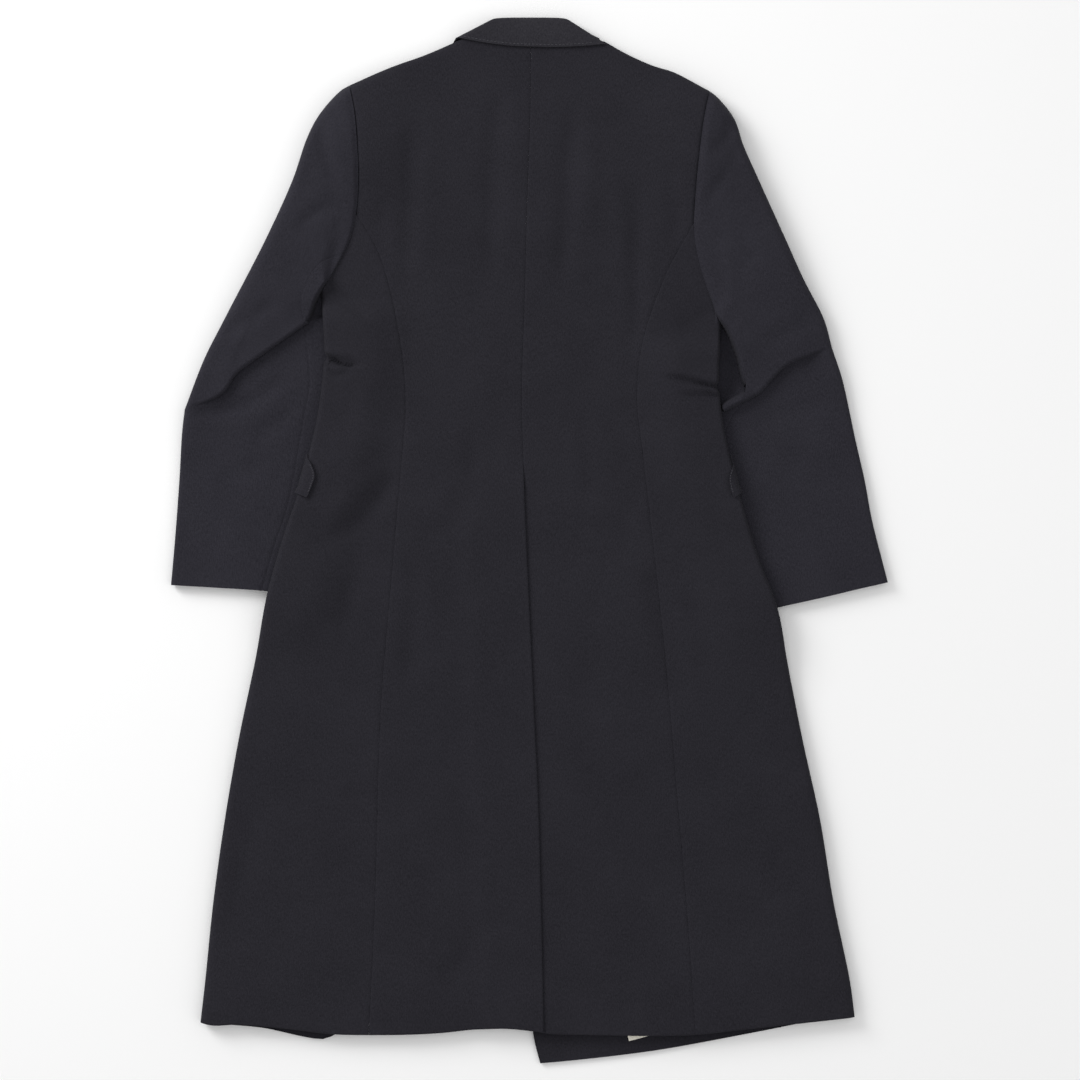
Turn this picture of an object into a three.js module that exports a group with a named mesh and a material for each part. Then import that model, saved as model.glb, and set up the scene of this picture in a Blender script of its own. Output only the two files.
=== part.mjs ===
// A woman's single-breasted chesterfield coat, laid flat on its front with its back up.
// Millimetres. +X is the wearer's right, +Y points to the collar, +Z is up, away from the table.
// Every panel is a cloth wall. Plan outlines come from short tables of hand-taken sizes, and each
// panel's height comes from what lies under it, the coat's own loft and its largest folds.
import * as THREE from 'three';

// Cloth, seams and stacking heights
const CLOTH = 2;              // coating with its backing and lining: back, sides and sleeves
const FRONT_CLOTH = 2.8;      // coating, canvas and facing: the two fronts
const LAPEL_CLOTH = 3.2;      // lapel turned back on the front
const COLLAR_CLOTH = 2.4;
const FLAP_CLOTH = 2.4;
const FLAP_GAP = 1.1;          // a flap hangs free of the coat except along its top edge
const FLAP_TIP_GAP = 2.1;
const STAND_CLOTH = 1.6;
const SEAM = 0.3;             // gap between two sewn pieces
const COAT_LOFT = 14;         // height of the coat's back above the table
const FOREARM_LOFT = 10;      // height of the flattened lower sleeve
const ARM_LOFT = 23;          // height of the upper sleeve above its elbow fold
const PIT_LOFT = 8;           // height of the sleeve in the hollow under the arm
const ELBOW_ROLL = 14;        // how far back the elbow fold stays round
const CHEST_LIFT = LAPEL_CLOTH + SEAM;
const FLAP_LIFT = FLAP_CLOTH + FLAP_GAP + SEAM;
const SLEEVE_LIFT = FOREARM_LOFT + 2 * SEAM;

// Closure
const CENTRE_FRONT = -5;      // x of the centre front
const OVERLAP = 22;           // each front reaches this far past the centre front
const BREAK_Y = 262;          // where the lapels start to turn back
const BUTTON = { radius: 11.5, thick: 3.2, top: 238, spacing: 96, count: 3 };

// Plan outlines, as [x, y] from the top down
const LEFT = {
  side: -1,
  shoulder: [[-81, 536], [-111, 523], [-147, 510], [-193, 490]],
  armhole: [[-193, 490], [-187, 460], [-184, 425], [-183, 400], [-185, 357], [-192, 325], [-206, 296],
    [-224, 267]],
  fold: [[-224, 267], [-221, 230], [-220, 197], [-228, 130], [-248, 51], [-265, 1], [-281, -56],
    [-295, -129],
    [-313, -215], [-328, -302], [-340, -388], [-349, -475], [-354, -519]],
  princess: [[-184, 362], [-161, 307], [-139, 216], [-133, 150], [-139, 65], [-149, -50],
    [-160, -190], [-166, -388],
    [-173, -532]],
  frontSeam: [[-190, 333], [-170, 250], [-163, 180], [-172, 110], [-198, 20], [-222, -70],
    [-245, -215], [-262, -360],
    [-274, -528]],
  hemBack: [[16, -529], [-23, -525], [-57, -526], [-96, -530], [-150, -532], [-214, -531],
    [-255, -526], [-315, -521],
    [-339, -522], [-354, -519]],
  hemFront: [[-354, -519], [-328, -522], [-286, -526], [-239, -536], [-221, -538], [-213, -535],
    [-200, -528],
    [-175, -521], [-120, -518], [-12, -518]],
  frontEdge: [[-81, 536], [-64, 480], [CENTRE_FRONT + OVERLAP, BREAK_Y], [CENTRE_FRONT + OVERLAP, 40],
    [-12, -518]],
  outerArm: [[-193, 490], [-203, 484], [-226, 458], [-239, 433], [-254, 389], [-283, 325],
    [-328, 238], [-350, 195],
    [-371, 141]],
  outerForearm: [[-371, 141], [-374, 115], [-377, 65], [-381, 10], [-386, -48]],
  elbow: [[-371, 141], [-336, 155], [-312, 181], [-274, 211], [-242, 232]],
  backSeamAt: 0.6,            // share of the armhole where the princess seam meets it
  frontSeamAt: 0.72,
  seamArm: [[-194, 325], [-226, 296], [-241, 262], [-242, 232]],
  seamForearm: [[-242, 232], [-239, 206], [-236, 173], [-243, 130], [-260, 38], [-274, -5], [-288, -54]],
  innerArm: [[-224, 267], [-227, 250], [-221, 236]],
  innerForearm: [[-221, 236], [-208, 222], [-198, 200], [-193, 170], [-199, 120], [-213, 60],
    [-232, 0], [-249, -58]],
  cuff: [[-386, -48], [-334, -51], [-288, -54], [-249, -58]],
  liftFrom: 262,              // the side of the coat rises over the sleeve between these two
  liftFull: 236,
  cuffEnd: -62,
};
const RIGHT = {
  side: 1,
  shoulder: [[84, 536], [105, 524], [134, 511], [156, 504], [194, 484]],
  armhole: [[194, 484], [187, 450], [181, 400], [178, 360], [177, 335], [182, 303], [192, 270],
    [207, 232]],
  fold: [[207, 232], [205, 205], [204, 182], [208, 130], [222, 65], [246, -16], [267, -72],
    [278, -129], [295, -215],
    [314, -302], [328, -388], [346, -475], [351, -513]],
  princess: [[178, 344], [147, 286], [122, 213], [116, 157], [123, 87], [137, -35], [147, -129],
    [158, -260],
    [170, -400], [178, -532]],
  frontSeam: [[178, 325], [160, 240], [152, 170], [160, 100], [185, 10], [208, -75], [232, -215],
    [252, -360],
    [272, -525]],
  hemBack: [[-30, -529], [16, -530], [68, -532], [136, -533], [178, -532], [225, -527], [260, -523],
    [307, -518],
    [351, -513]],
  hemFront: [[351, -513], [309, -518], [272, -525], [241, -531], [137, -550], [46, -561], [12, -564]],
  frontEdge: [[84, 536], [66, 480], [CENTRE_FRONT - OVERLAP, BREAK_Y], [CENTRE_FRONT - OVERLAP, 40],
    [4, -529],
    [12, -564]],
  outerArm: [[194, 484], [202, 478], [221, 454], [231, 425], [247, 389], [276, 325], [296, 281],
    [318, 238],
    [327, 206]],
  outerForearm: [[327, 206], [338, 173], [352, 109], [362, 65], [370, 22], [387, -45]],
  elbow: [[327, 206], [282, 182], [255, 160], [231, 150]],
  backSeamAt: 0.56,
  frontSeamAt: 0.66,
  seamArm: [[178, 312], [211, 276], [229, 226], [234, 185], [231, 150]],
  seamForearm: [[231, 150], [219, 134], [209, 110], [209, 65], [224, 20], [241, -25], [256, -75]],
  innerArm: [[207, 232], [211, 215], [205, 202], [190, 186], [184, 165]],
  innerForearm: [[184, 165], [181, 125], [187, 80], [205, 20], [225, -35], [241, -79]],
  cuff: [[387, -45], [352, -53], [323, -60], [256, -75], [241, -79]],
  liftFrom: 227,
  liftFull: 200,
  cuffEnd: -84,
};
const NECK_BACK = [[2, 535], [-40, 536], [-66, 540], [-81, 536]];
const NECK_BACK_RIGHT = [[2, 535], [44, 536], [68, 539], [84, 536]];
const CENTRE_BACK = [[2, 535], [1, 454], [-2, 368], [-5, 260], [-8, 152], [-5, 51]];
const VENT_EDGE = [[-5, 51], [-1, -40], [5, -172], [10, -280], [13, -388], [16, -529]];
const VENT_UNDERLAP = 46;     // how far the right back reaches under the left
const VENT_UNDER = [[-5, 51], [-51, 12], [-46, -120], [-36, -300], [-30, -529]];
const VENT_TOP = 51;

// Broad mounds on the coat's back: shoulder pads and sleeve heads, shoulder blades and seat
const MOUNDS = [
  { x: -182, y: 438, rx: 58, ry: 66, rise: 13 },
  { x: 182, y: 432, rx: 58, ry: 66, rise: 13 },
  { x: 0, y: 330, rx: 150, ry: 130, rise: 3 },
  { x: 0, y: -90, rx: 190, ry: 170, rise: 2 },
];
// The largest folds in the back, as lines with a half width and a depth (a ridge is negative)
const FOLDS = [
  { x0: -35, y0: 455, x1: -35, y1: 270, half: 11, depth: 2 },
  { x0: 45, y0: 465, x1: 34, y1: 245, half: 11, depth: 2.4 },
  { x0: -127, y0: 380, x1: -131, y1: 262, half: 10, depth: 1.8 },
  { x0: 113, y0: 390, x1: 116, y1: 268, half: 10, depth: 2 },
  { x0: 122, y0: 10, x1: 176, y1: -185, half: 12, depth: 2.8 },
  { x0: -129, y0: -12, x1: -127, y1: -170, half: 12, depth: 2.4 },
  { x0: -160, y0: 45, x1: -240, y1: -22, half: 11, depth: 2 },
  { x0: -285, y0: -262, x1: -310, y1: -415, half: 13, depth: 1.8 },
  { x0: -18, y0: -400, x1: -94, y1: -492, half: 15, depth: 2 },
  { x0: 98, y0: -378, x1: 160, y1: -468, half: 14, depth: 1.6 },
];

const { clamp, lerp: mix, smoothstep: smooth } = THREE.MathUtils;
const DOWN = new THREE.Vector3(0, 0, -1);
const UP = new THREE.Vector3(0, 0, 1);

// A plan line through points, read by its share of length
class Path {
  constructor(points) {
    this.points = points;
    this.lengths = [0];
    for (let i = 1; i < points.length; i++)
      this.lengths.push(this.lengths[i - 1] + points[i].distanceTo(points[i - 1]));
    this.length = this.lengths.at(-1);
  }

  // from and to, where given, take the place of the table's first and last points
  static through(table, from, to) {
    const points = table.map(([x, y]) => new THREE.Vector3(x, y, 0));
    if (from) points[0] = from;
    if (to) points[points.length - 1] = to;
    return new Path(new THREE.CatmullRomCurve3(points, false, 'centripetal').getPoints(12 * table.length));
  }

  at(share) {
    const reach = clamp(share, 0, 1) * this.length;
    let i = 1;
    while (i < this.points.length - 1 && this.lengths[i] < reach) i++;
    const step = this.lengths[i] - this.lengths[i - 1] || 1;
    return this.points[i - 1].clone().lerp(this.points[i], (reach - this.lengths[i - 1]) / step);
  }

  slice(from, to) {
    const steps = 40;
    return new Path(Array.from({ length: steps + 1 }, (_, i) => this.at(mix(from, to, i / steps))));
  }

  shareNear(target) {
    const steps = 800;
    let best = 0;
    for (let i = 1; i <= steps; i++)
      if (this.at(i / steps).distanceTo(target) < this.at(best).distanceTo(target)) best = i / steps;
    return best;
  }

  distance(x, y) {
    const [target, near] = [new THREE.Vector3(x, y, 0), new THREE.Vector3()];
    let best = Infinity;
    for (let i = 1; i < this.points.length; i++) {
      new THREE.Line3(this.points[i - 1], this.points[i]).closestPointToPoint(target, true, near);
      best = Math.min(best, near.distanceTo(target));
    }
    return best;
  }

  xAt(y) {
    let i = 1;
    while (i < this.points.length - 1 && this.points[i].y > y) i++;
    const [a, b] = [this.points[i - 1], this.points[i]];
    return mix(a.x, b.x, clamp((a.y - y) / (a.y - b.y || 1), 0, 1));
  }
}

// Two lines one after the other, the first up to the share split
const joined = (first, second, split) => ({
  at: (v) => (v < split ? first.at(v / split) : second.at((v - split) / (1 - split))),
});

// The plan point (u, v) of the patch between four boundary lines
function patch(top, bottom, first, last) {
  const corners = [first.at(0), last.at(0), first.at(1), last.at(1)];
  return (u, v) => {
    const p = new THREE.Vector3();
    p.addScaledVector(top.at(u), 1 - v).addScaledVector(bottom.at(u), v);
    p.addScaledVector(first.at(v), 1 - u).addScaledVector(last.at(v), u);
    p.addScaledVector(corners[0], -(1 - u) * (1 - v)).addScaledVector(corners[1], -u * (1 - v));
    return p.addScaledVector(corners[2], -(1 - u) * v).addScaledVector(corners[3], -u * v);
  };
}
const rowOf = (surface, v) => new Path(Array.from({ length: 33 }, (_, i) => surface(i / 32, v)));
const shares = (count) => Array.from({ length: count }, (_, i) => i / (count - 1));

// A closed wall from rows of { p, inward } points: the outer face, and the same moved inwards
function wall(name, rows, thickness, material) {
  const [R, C] = [rows.length, rows[0].length];
  const positions = [];
  for (const layer of [0, thickness])
    for (const row of rows)
      for (const { p, inward } of row) positions.push(...p.clone().addScaledVector(inward, layer).toArray());
  const at = (layer, r, c) => layer * R * C + r * C + c;
  const faces = [];
  const point = (i) => new THREE.Vector3().fromArray(positions, 3 * i);
  const quad = (a, b, c, d) => {
    if (point(a).distanceTo(point(c)) <= point(b).distanceTo(point(d))) faces.push(a, b, c, a, c, d);
    else faces.push(a, b, d, b, c, d);
  };
  for (let r = 0; r < R - 1; r++)
    for (let c = 0; c < C - 1; c++) {
      quad(at(0, r, c), at(0, r + 1, c), at(0, r + 1, c + 1), at(0, r, c + 1));
      quad(at(1, r, c), at(1, r, c + 1), at(1, r + 1, c + 1), at(1, r + 1, c));
    }
  for (let r = 0; r < R - 1; r++) {
    quad(at(0, r, 0), at(1, r, 0), at(1, r + 1, 0), at(0, r + 1, 0));
    quad(at(0, r, C - 1), at(0, r + 1, C - 1), at(1, r + 1, C - 1), at(1, r, C - 1));
  }
  for (let c = 0; c < C - 1; c++) {
    quad(at(0, 0, c), at(0, 0, c + 1), at(1, 0, c + 1), at(1, 0, c));
    quad(at(0, R - 1, c), at(1, R - 1, c), at(1, R - 1, c + 1), at(0, R - 1, c + 1));
  }
  let volume = 0;
  for (let i = 0; i < faces.length; i += 3)
    volume += point(faces[i]).dot(point(faces[i + 1]).cross(point(faces[i + 2])));
  if (volume < 0) faces.reverse();
  const geometry = new THREE.BufferGeometry();
  geometry.setAttribute('position', new THREE.Float32BufferAttribute(positions, 3));
  geometry.setIndex(faces);
  const mesh = new THREE.Mesh(geometry, material);
  mesh.name = name;
  return mesh;
}

const cloth = new THREE.MeshStandardMaterial({ color: 0x2b2a2f, roughness: 0.9, metalness: 0 });
const horn = new THREE.MeshStandardMaterial({ color: 0x17161a, roughness: 0.35, metalness: 0 });
const satin = new THREE.MeshStandardMaterial({ color: 0xd9d4cc, roughness: 0.6, metalness: 0 });

const OUTLINES = ['shoulder', 'armhole', 'fold', 'hemBack', 'hemFront', 'frontEdge', 'outerArm',
  'outerForearm', 'elbow', 'innerArm', 'innerForearm', 'cuff'];
for (const half of [LEFT, RIGHT]) {
  for (const key of OUTLINES) half[key] = Path.through(half[key]);
  const hemEnd = (table, hem) => hem.at(hem.shareNear(new THREE.Vector3(...table.at(-1), 0)));
  const [backEnd, frontEnd] = [hemEnd(half.princess, half.hemBack), hemEnd(half.frontSeam, half.hemFront)];
  half.princess = Path.through(half.princess, half.armhole.at(half.backSeamAt), backEnd);
  half.frontSeam = Path.through(half.frontSeam, half.armhole.at(half.frontSeamAt), frontEnd);
  half.seamForearm = Path.through(half.seamForearm, half.elbow.at(1));
}

// How far the coat's underside is held up by the sleeve that lies under its side: fully for the first
// millimetres in from the side fold, and running out past the cuff
const SLEEVE_RAMP = { near: 44, far: 96, pastCuff: 70 };
function sleeveLift(x, y) {
  let lift = 0;
  for (const half of [LEFT, RIGHT]) {
    const inside = half.side * (half.fold.xAt(y) - x);
    const across = 1 - smooth(inside, SLEEVE_RAMP.near, SLEEVE_RAMP.far);
    const pastCuff = smooth(y, half.cuffEnd - SLEEVE_RAMP.pastCuff, half.cuffEnd);
    lift += SLEEVE_LIFT * across * pastCuff * (1 - smooth(y, half.liftFull, half.liftFrom));
  }
  return lift;
}

// and by the pocket flap
const FLAP = { top: 92, bottom: 46, length: 150 };
const FLAP_RAMP = { near: 8, far: 40 };
function flapLift(x, y) {
  let lift = 0;
  for (const half of [LEFT, RIGHT]) {
    const inside = half.side * (half.fold.xAt(y) - x);
    const { near, far } = FLAP_RAMP;
    const across = 1 - smooth(inside, FLAP.length + near, FLAP.length + far);
    const below = smooth(y, FLAP.bottom - far, FLAP.bottom - near);
    lift += FLAP_LIFT * across * below * (1 - smooth(y, FLAP.top + near, FLAP.top + far));
  }
  return lift;
}

// and by the buttons, the lapels and the ends of the collar: a band that is wide over the lapels
const CHEST_RAMP = {
  narrow: 38, wide: 158, wideFrom: BREAK_Y - 40, wideTo: 400, edge: 30, bottom: -150, top: 30,
};
function chestLift(x, y) {
  const { narrow, wide, wideFrom, wideTo, edge, bottom, top } = CHEST_RAMP;
  const halfWidth = mix(narrow, wide, smooth(y, wideFrom, wideTo));
  const across = 1 - smooth(Math.abs(x - CENTRE_FRONT), halfWidth, halfWidth + edge);
  return CHEST_LIFT * across * smooth(y, bottom, top);
}

const base = (x, y) => sleeveLift(x, y) + flapLift(x, y) + chestLift(x, y);

function foldDepth(x, y) {
  let depth = 0;
  const [here, near, line] = [new THREE.Vector3(x, y, 0), new THREE.Vector3(), new THREE.Line3()];
  for (const f of FOLDS) {
    line.start.set(f.x0, f.y0, 0);
    line.end.set(f.x1, f.y1, 0);
    line.closestPointToPoint(here, true, near);
    depth += f.depth * Math.exp(-((here.distanceTo(near) / f.half) ** 2));
  }
  return depth;
}

// The height of the coat's back, before its edges turn down
function loft(x, y) {
  let height = COAT_LOFT;
  for (const m of MOUNDS) height += m.rise * Math.exp(-(((x - m.x) / m.rx) ** 2) - ((y - m.y) / m.ry) ** 2);
  return height + 0.8 * sleeveLift(x, y) + 0.5 * flapLift(x, y);
}
const backTop = (x, y) => loft(x, y) - foldDepth(x, y);
const midFold = (p) => (loft(p.x, p.y) + base(p.x, p.y)) / 2;
const foldRadius = (p) => 0.55 * (loft(p.x, p.y) - base(p.x, p.y));

// A point of an upper or lower layer at a plan distance in from its rounded edge. level is the height that
// the round reaches, mid the height of the edge itself, and outward the plan direction to the edge
function turned(upper, plan, distance, radius, level, mid, outward) {
  const s = clamp(distance / radius, 0, 1);
  const rise = Math.sqrt(1 - (1 - s) ** 2);
  const inward = new THREE.Vector3(-outward.x * (1 - s), -outward.y * (1 - s), upper ? -rise : rise);
  return { p: new THREE.Vector3(plan.x, plan.y, mix(mid, level, rise)), inward: inward.normalize() };
}

// Distances from a folded edge that follow its round, then even steps to the far end
function steps(length, radius, flats) {
  const round = [0, 0.12, 0.45].map((share) => share * radius);
  const flat = shares(flats + 1).map((share) => mix(Math.min(radius, length / 2), length, share));
  return [...round, ...flat];
}

// Stations down the coat: along the armhole, then along the seams from the armhole to the hem
const ARM_STATIONS = [0, 0.02, 0.06, 0.12, 0.22, 0.4, 0.6, 0.8];
const SEAM_STATIONS = [0, 0.03, 0.055, 0.09, 0.14, 0.19, 0.228, 0.239, 0.25, 0.265, 0.28, 0.31, 0.345, 0.38,
  0.44, 0.52, 0.6, 0.68, 0.76, 0.84, 0.92, 1];
const ARM_SHARE = 0.16;
const VENT_SHARE = mix(ARM_SHARE, 1, 0.345);
const STATIONS = [
  ...ARM_STATIONS.map((s) => s * ARM_SHARE), ...SEAM_STATIONS.map((s) => mix(ARM_SHARE, 1, s)),
];

// The height and inward direction near the shoulder fold, for the back (upper) or front (lower) layer
function atShoulder(half, plan, level, upper) {
  const distance = half.shoulder.distance(plan.x, plan.y);
  const near = half.shoulder.at(half.shoulder.shareNear(plan));
  const radius = foldRadius(near);
  if (distance >= radius) return { p: new THREE.Vector3(plan.x, plan.y, level), inward: upper ? DOWN : UP };
  const outward = new THREE.Vector3(half.side * 0.37, 0.93, 0);
  const point = turned(upper, plan, distance, radius, level, midFold(near), outward);
  const clear = midFold(near) + (upper ? SEAM : -SEAM) / 2;
  point.p.z = upper ? Math.max(point.p.z, clear) : Math.min(point.p.z, clear);
  if (distance < 0.3) point.inward.setZ(0).normalize();
  return point;
}

// Where the left back climbs on the right one at the vent
const VENT_RAMP = { near: 10, far: 34, above: 40 };
// Back panels, from the centre back to the princess seam. The left one's vent edge lies on the right one
function back(half) {
  const isLeft = half.side < 0;
  const ventEdge = Path.through(VENT_EDGE);
  const vent = isLeft ? ventEdge : Path.through(VENT_UNDER);
  const neck = Path.through(isLeft ? NECK_BACK : NECK_BACK_RIGHT);
  const top = joined(neck, half.shoulder, neck.length / (neck.length + half.shoulder.length));
  const hem = half.hemBack.slice(0, half.hemBack.shareNear(half.princess.at(1)));
  const outer = joined(half.armhole.slice(0, half.backSeamAt), half.princess, ARM_SHARE);
  const plan = patch(top, hem, joined(Path.through(CENTRE_BACK), vent, VENT_SHARE), outer);
  const rows = STATIONS.map((v) => {
    const row = rowOf(plan, v);
    const inset = SEAM / 2 / row.length;
    return shares(12).map((u) => {
      const at = row.at(mix(inset, 1 - inset, u));
      let level = backTop(at.x, at.y);
      if (isLeft) {
        const edge = at.y > VENT_TOP ? VENT_EDGE[0][0] : ventEdge.xAt(at.y);
        const under = edge - VENT_UNDERLAP;
        const across = smooth(at.x, under - VENT_RAMP.far, under - VENT_RAMP.near);
        level += (CLOTH + 2 * SEAM) * across * (1 - smooth(at.y, VENT_TOP - 2, VENT_TOP + VENT_RAMP.above));
      }
      return atShoulder(half, at, level, true);
    });
  });
  return wall(isLeft ? 'back_left' : 'back_right', rows, CLOTH, cloth);
}

// Side panels, from the princess seam round the side fold to the front seam
function sideSurfaces(half) {
  const backHem = half.hemBack.slice(1, half.hemBack.shareNear(half.princess.at(1)));
  const frontHem = half.hemFront.slice(0, half.hemFront.shareNear(half.frontSeam.at(1)));
  const plan = (seamAt, hem, seam) => patch(half.armhole.slice(1, seamAt), hem, half.fold, seam);
  return [
    { upper: true, plan: plan(half.backSeamAt, backHem, half.princess), level: backTop, flats: 4 },
    { upper: false, plan: plan(half.frontSeamAt, frontHem, half.frontSeam), level: base, flats: 3 },
  ];
}
// One layer of a side panel: the distances of its columns from the side fold, and a point at any distance
function sideRow(surface, down) {
  const row = rowOf(surface.plan, down);
  const edge = row.at(0);
  const outward = row.at(0.04).sub(edge).setZ(0).normalize().negate();
  const radius = Math.min(foldRadius(edge), 0.45 * row.length);
  const point = (d) => {
    const at = d > row.length ? row.at(1).addScaledVector(outward, row.length - d) : row.at(d / row.length);
    return turned(surface.upper, at, d, radius, surface.level(at.x, at.y), midFold(edge), outward);
  };
  return { radius, point, columns: steps(row.length - SEAM / 2, radius, surface.flats).map(point) };
}
function sidePanel(half) {
  const surfaces = sideSurfaces(half);
  const rows = SEAM_STATIONS.map((v) => {
    const down = Math.max(v, SEAM / 2 / half.fold.length);
    const [upper, lower] = surfaces.map((surface) => sideRow(surface, down).columns);
    return [...upper.reverse(), ...lower.slice(1)];
  });
  return wall(half.side < 0 ? 'side_left' : 'side_right', rows, CLOTH, cloth);
}

// Front panels, from the roll line and front edge to the front seam. The left one climbs on the right one
const FRONT_RAMP = { near: 8, far: 30, full: 70, none: 110 };
const FRONT_NEAR = [0, 12, 28, 44];     // distances of the first columns from the front edge
function front(half) {
  const isLeft = half.side < 0;
  const outer = joined(half.armhole.slice(0, half.frontSeamAt), half.frontSeam, ARM_SHARE);
  const hem = half.hemFront.slice(1, half.hemFront.shareNear(half.frontSeam.at(1)));
  const plan = patch(half.shoulder, hem, half.frontEdge, outer);
  const rows = STATIONS.map((v) => {
    const row = rowOf(plan, v);
    const inset = SEAM / 2 / row.length;
    const near = FRONT_NEAR.map((d) => Math.min(d / row.length, 0.4));
    const columns = [...near, ...shares(7).slice(1).map((u) => mix(near[3], 1, u))];
    return columns.map((u) => {
      const at = row.at(mix(inset, 1 - inset, u));
      let level = base(at.x, at.y);
      if (isLeft) {
        const edge = RIGHT.frontEdge.xAt(at.y);
        const down = 1 - smooth(at.y, BREAK_Y + FRONT_RAMP.full, BREAK_Y + FRONT_RAMP.none);
        const across = smooth(at.x, edge - FRONT_RAMP.far, edge - FRONT_RAMP.near);
        level += (FRONT_CLOTH + 2 * SEAM) * across * down;
      }
      return atShoulder(half, at, level, false);
    });
  });
  return wall(isLeft ? 'front_left' : 'front_right', rows, FRONT_CLOTH, cloth);
}

// The points where the body ends at an armhole, from the shoulder to the underarm, on one layer
function armholePoints(half, upper) {
  const seamAt = upper ? half.backSeamAt : half.frontSeamAt;
  const points = ARM_STATIONS.map((station) => {
    const plan = half.armhole.at(station * seamAt);
    return atShoulder(half, plan, upper ? backTop(plan.x, plan.y) : base(plan.x, plan.y), upper);
  });
  const side = sideRow(sideSurfaces(half)[upper ? 0 : 1], SEAM / 2 / half.fold.length).columns.reverse();
  return [...points, ...side];
}

// Stations down a sleeve: close together at the armhole and at the elbow fold
const ARM_DOWN = [0, 0.05, 0.14, 0.28, 0.45, 0.62, 0.78, 0.88, 0.94, 0.98, 1];
const FOREARM_DOWN = [0.004, 0.03, 0.1, 0.22, 0.38, 0.56, 0.76, 1];
const UNDER_COLUMNS = 5;      // columns of the under sleeve in each layer
const ROLL_SHARE = 0.62;      // of the outer arm's length: the distance over which the elbow is rolled
const HEAD_SHARE = 0.3;       // the sleeve takes the armhole's heights over this share of the arm
const PIT_SHARE = 0.28;       // and falls to the hollow under the arm over this share of the under sleeve

// Share of a row: close together at its folded end, even in the rest
function roundedShare(j, count, radiusShare, foldedAtEnd) {
  const fromFold = foldedAtEnd ? count - j : j;
  const near = Math.min(radiusShare, 0.4);
  const share = fromFold < 3 ? [0, 0.12, 0.45][fromFold] * near : mix(near, 1, (fromFold - 3) / (count - 3));
  return foldedAtEnd ? 1 - share : share;
}

// One layer of a sleeve: rows from the armhole to the cuff, each from the outer fold to the inner fold
function sleeveLayer(half, upper) {
  const top = armholePoints(half, upper);
  const plan = top.map(({ p }) => new THREE.Vector3(p.x, p.y, 0));
  const seamIndex = top.length - 1 - UNDER_COLUMNS;
  const outerTop = new Path(plan.slice(0, seamIndex + 1));
  const innerTop = new Path(plan.slice(seamIndex));
  const seamArm = Path.through(half.seamArm, plan[seamIndex], half.elbow.at(1));
  const seamAtCuff = half.cuff.shareNear(half.seamForearm.at(1));
  const elbowInner = Path.through([[0, 0], [0, 0]], half.seamForearm.at(0), half.innerForearm.at(0));
  const arm = [
    patch(outerTop, half.elbow, half.outerArm, seamArm),
    patch(innerTop, elbowInner, seamArm, half.innerArm),
  ];
  const forearm = [
    patch(half.elbow, half.cuff.slice(0, seamAtCuff), half.outerForearm, half.seamForearm),
    patch(elbowInner, half.cuff.slice(seamAtCuff, 1), half.seamForearm, half.innerForearm),
  ];
  const toElbow = new THREE.Vector3(half.side * 0.5, -0.87, 0);

  const makeRow = (surfaces, v, isArm) => {
    const reach = (1 - v) * ROLL_SHARE * half.outerArm.length;
    const nose = isArm ? clamp(reach / ELBOW_ROLL, 0, 1) : 1;
    const rise = Math.sqrt(1 - (1 - nose) ** 2);
    const main = isArm ? mix((ARM_LOFT + FOREARM_LOFT) / 2, ARM_LOFT, rise) : FOREARM_LOFT;
    const inner = isArm ? PIT_LOFT : FOREARM_LOFT;
    const atArmhole = isArm ? 1 - smooth(v, 0, HEAD_SHARE) : 0;
    return surfaces.flatMap((surface, isInner) => {
      const source = isInner ? innerTop : outerTop;
      const offset = isInner ? seamIndex : 0;
      const count = source.points.length - 1;
      const row = rowOf(surface, v);
      const edgeHeight = isInner ? inner : main;
      const radius = Math.min(0.5 * edgeHeight, 0.45 * row.length);
      const outward = row.at(isInner ? 1 : 0).sub(row.at(isInner ? 0.9 : 0.1)).setZ(0).normalize();
      return shares(count + 1).map((_, j) => {
        const share = roundedShare(j, count, radius / row.length, Boolean(isInner));
        const at = row.at(share).lerp(surface(source.lengths[j] / source.length, v), atArmhole);
        const fromEdge = (isInner ? 1 - share : share) * row.length;
        const height = mix(main, inner, isInner ? smooth(share, 0, PIT_SHARE) : 0);
        const point = turned(upper, at, fromEdge, radius, upper ? height : 0, edgeHeight / 2, outward);
        if (upper && nose < 1) {
          const turn = Math.acos(rise) * smooth(height, FOREARM_LOFT, ARM_LOFT - 8);
          point.inward.multiplyScalar(Math.cos(turn)).addScaledVector(toElbow, -Math.sin(turn)).normalize();
        }
        point.p.z = mix(point.p.z, top[offset + j].p.z, atArmhole);
        point.inward.lerp(top[offset + j].inward, atArmhole).normalize();
        return point;
      }).slice(isInner ? 1 : 0);
    });
  };
  const firstDown = SEAM / 2 / half.innerArm.length;
  const rows = ARM_DOWN.map((v) => makeRow(arm, Math.max(v, firstDown), true));
  return { seamIndex, rows: [...rows, ...FOREARM_DOWN.map((v) => makeRow(forearm, v, false))] };
}

// Moves the first and last points of each row in by half a seam gap
function trimmed(rows) {
  return rows.map((row) => row.map((point, i) => {
    if (i > 0 && i < row.length - 1) return point;
    const next = row[i ? i - 1 : 1].p;
    const step = next.clone().sub(point.p).setLength(SEAM / 2);
    return { p: point.p.clone().add(step), inward: point.inward };
  }));
}

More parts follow.
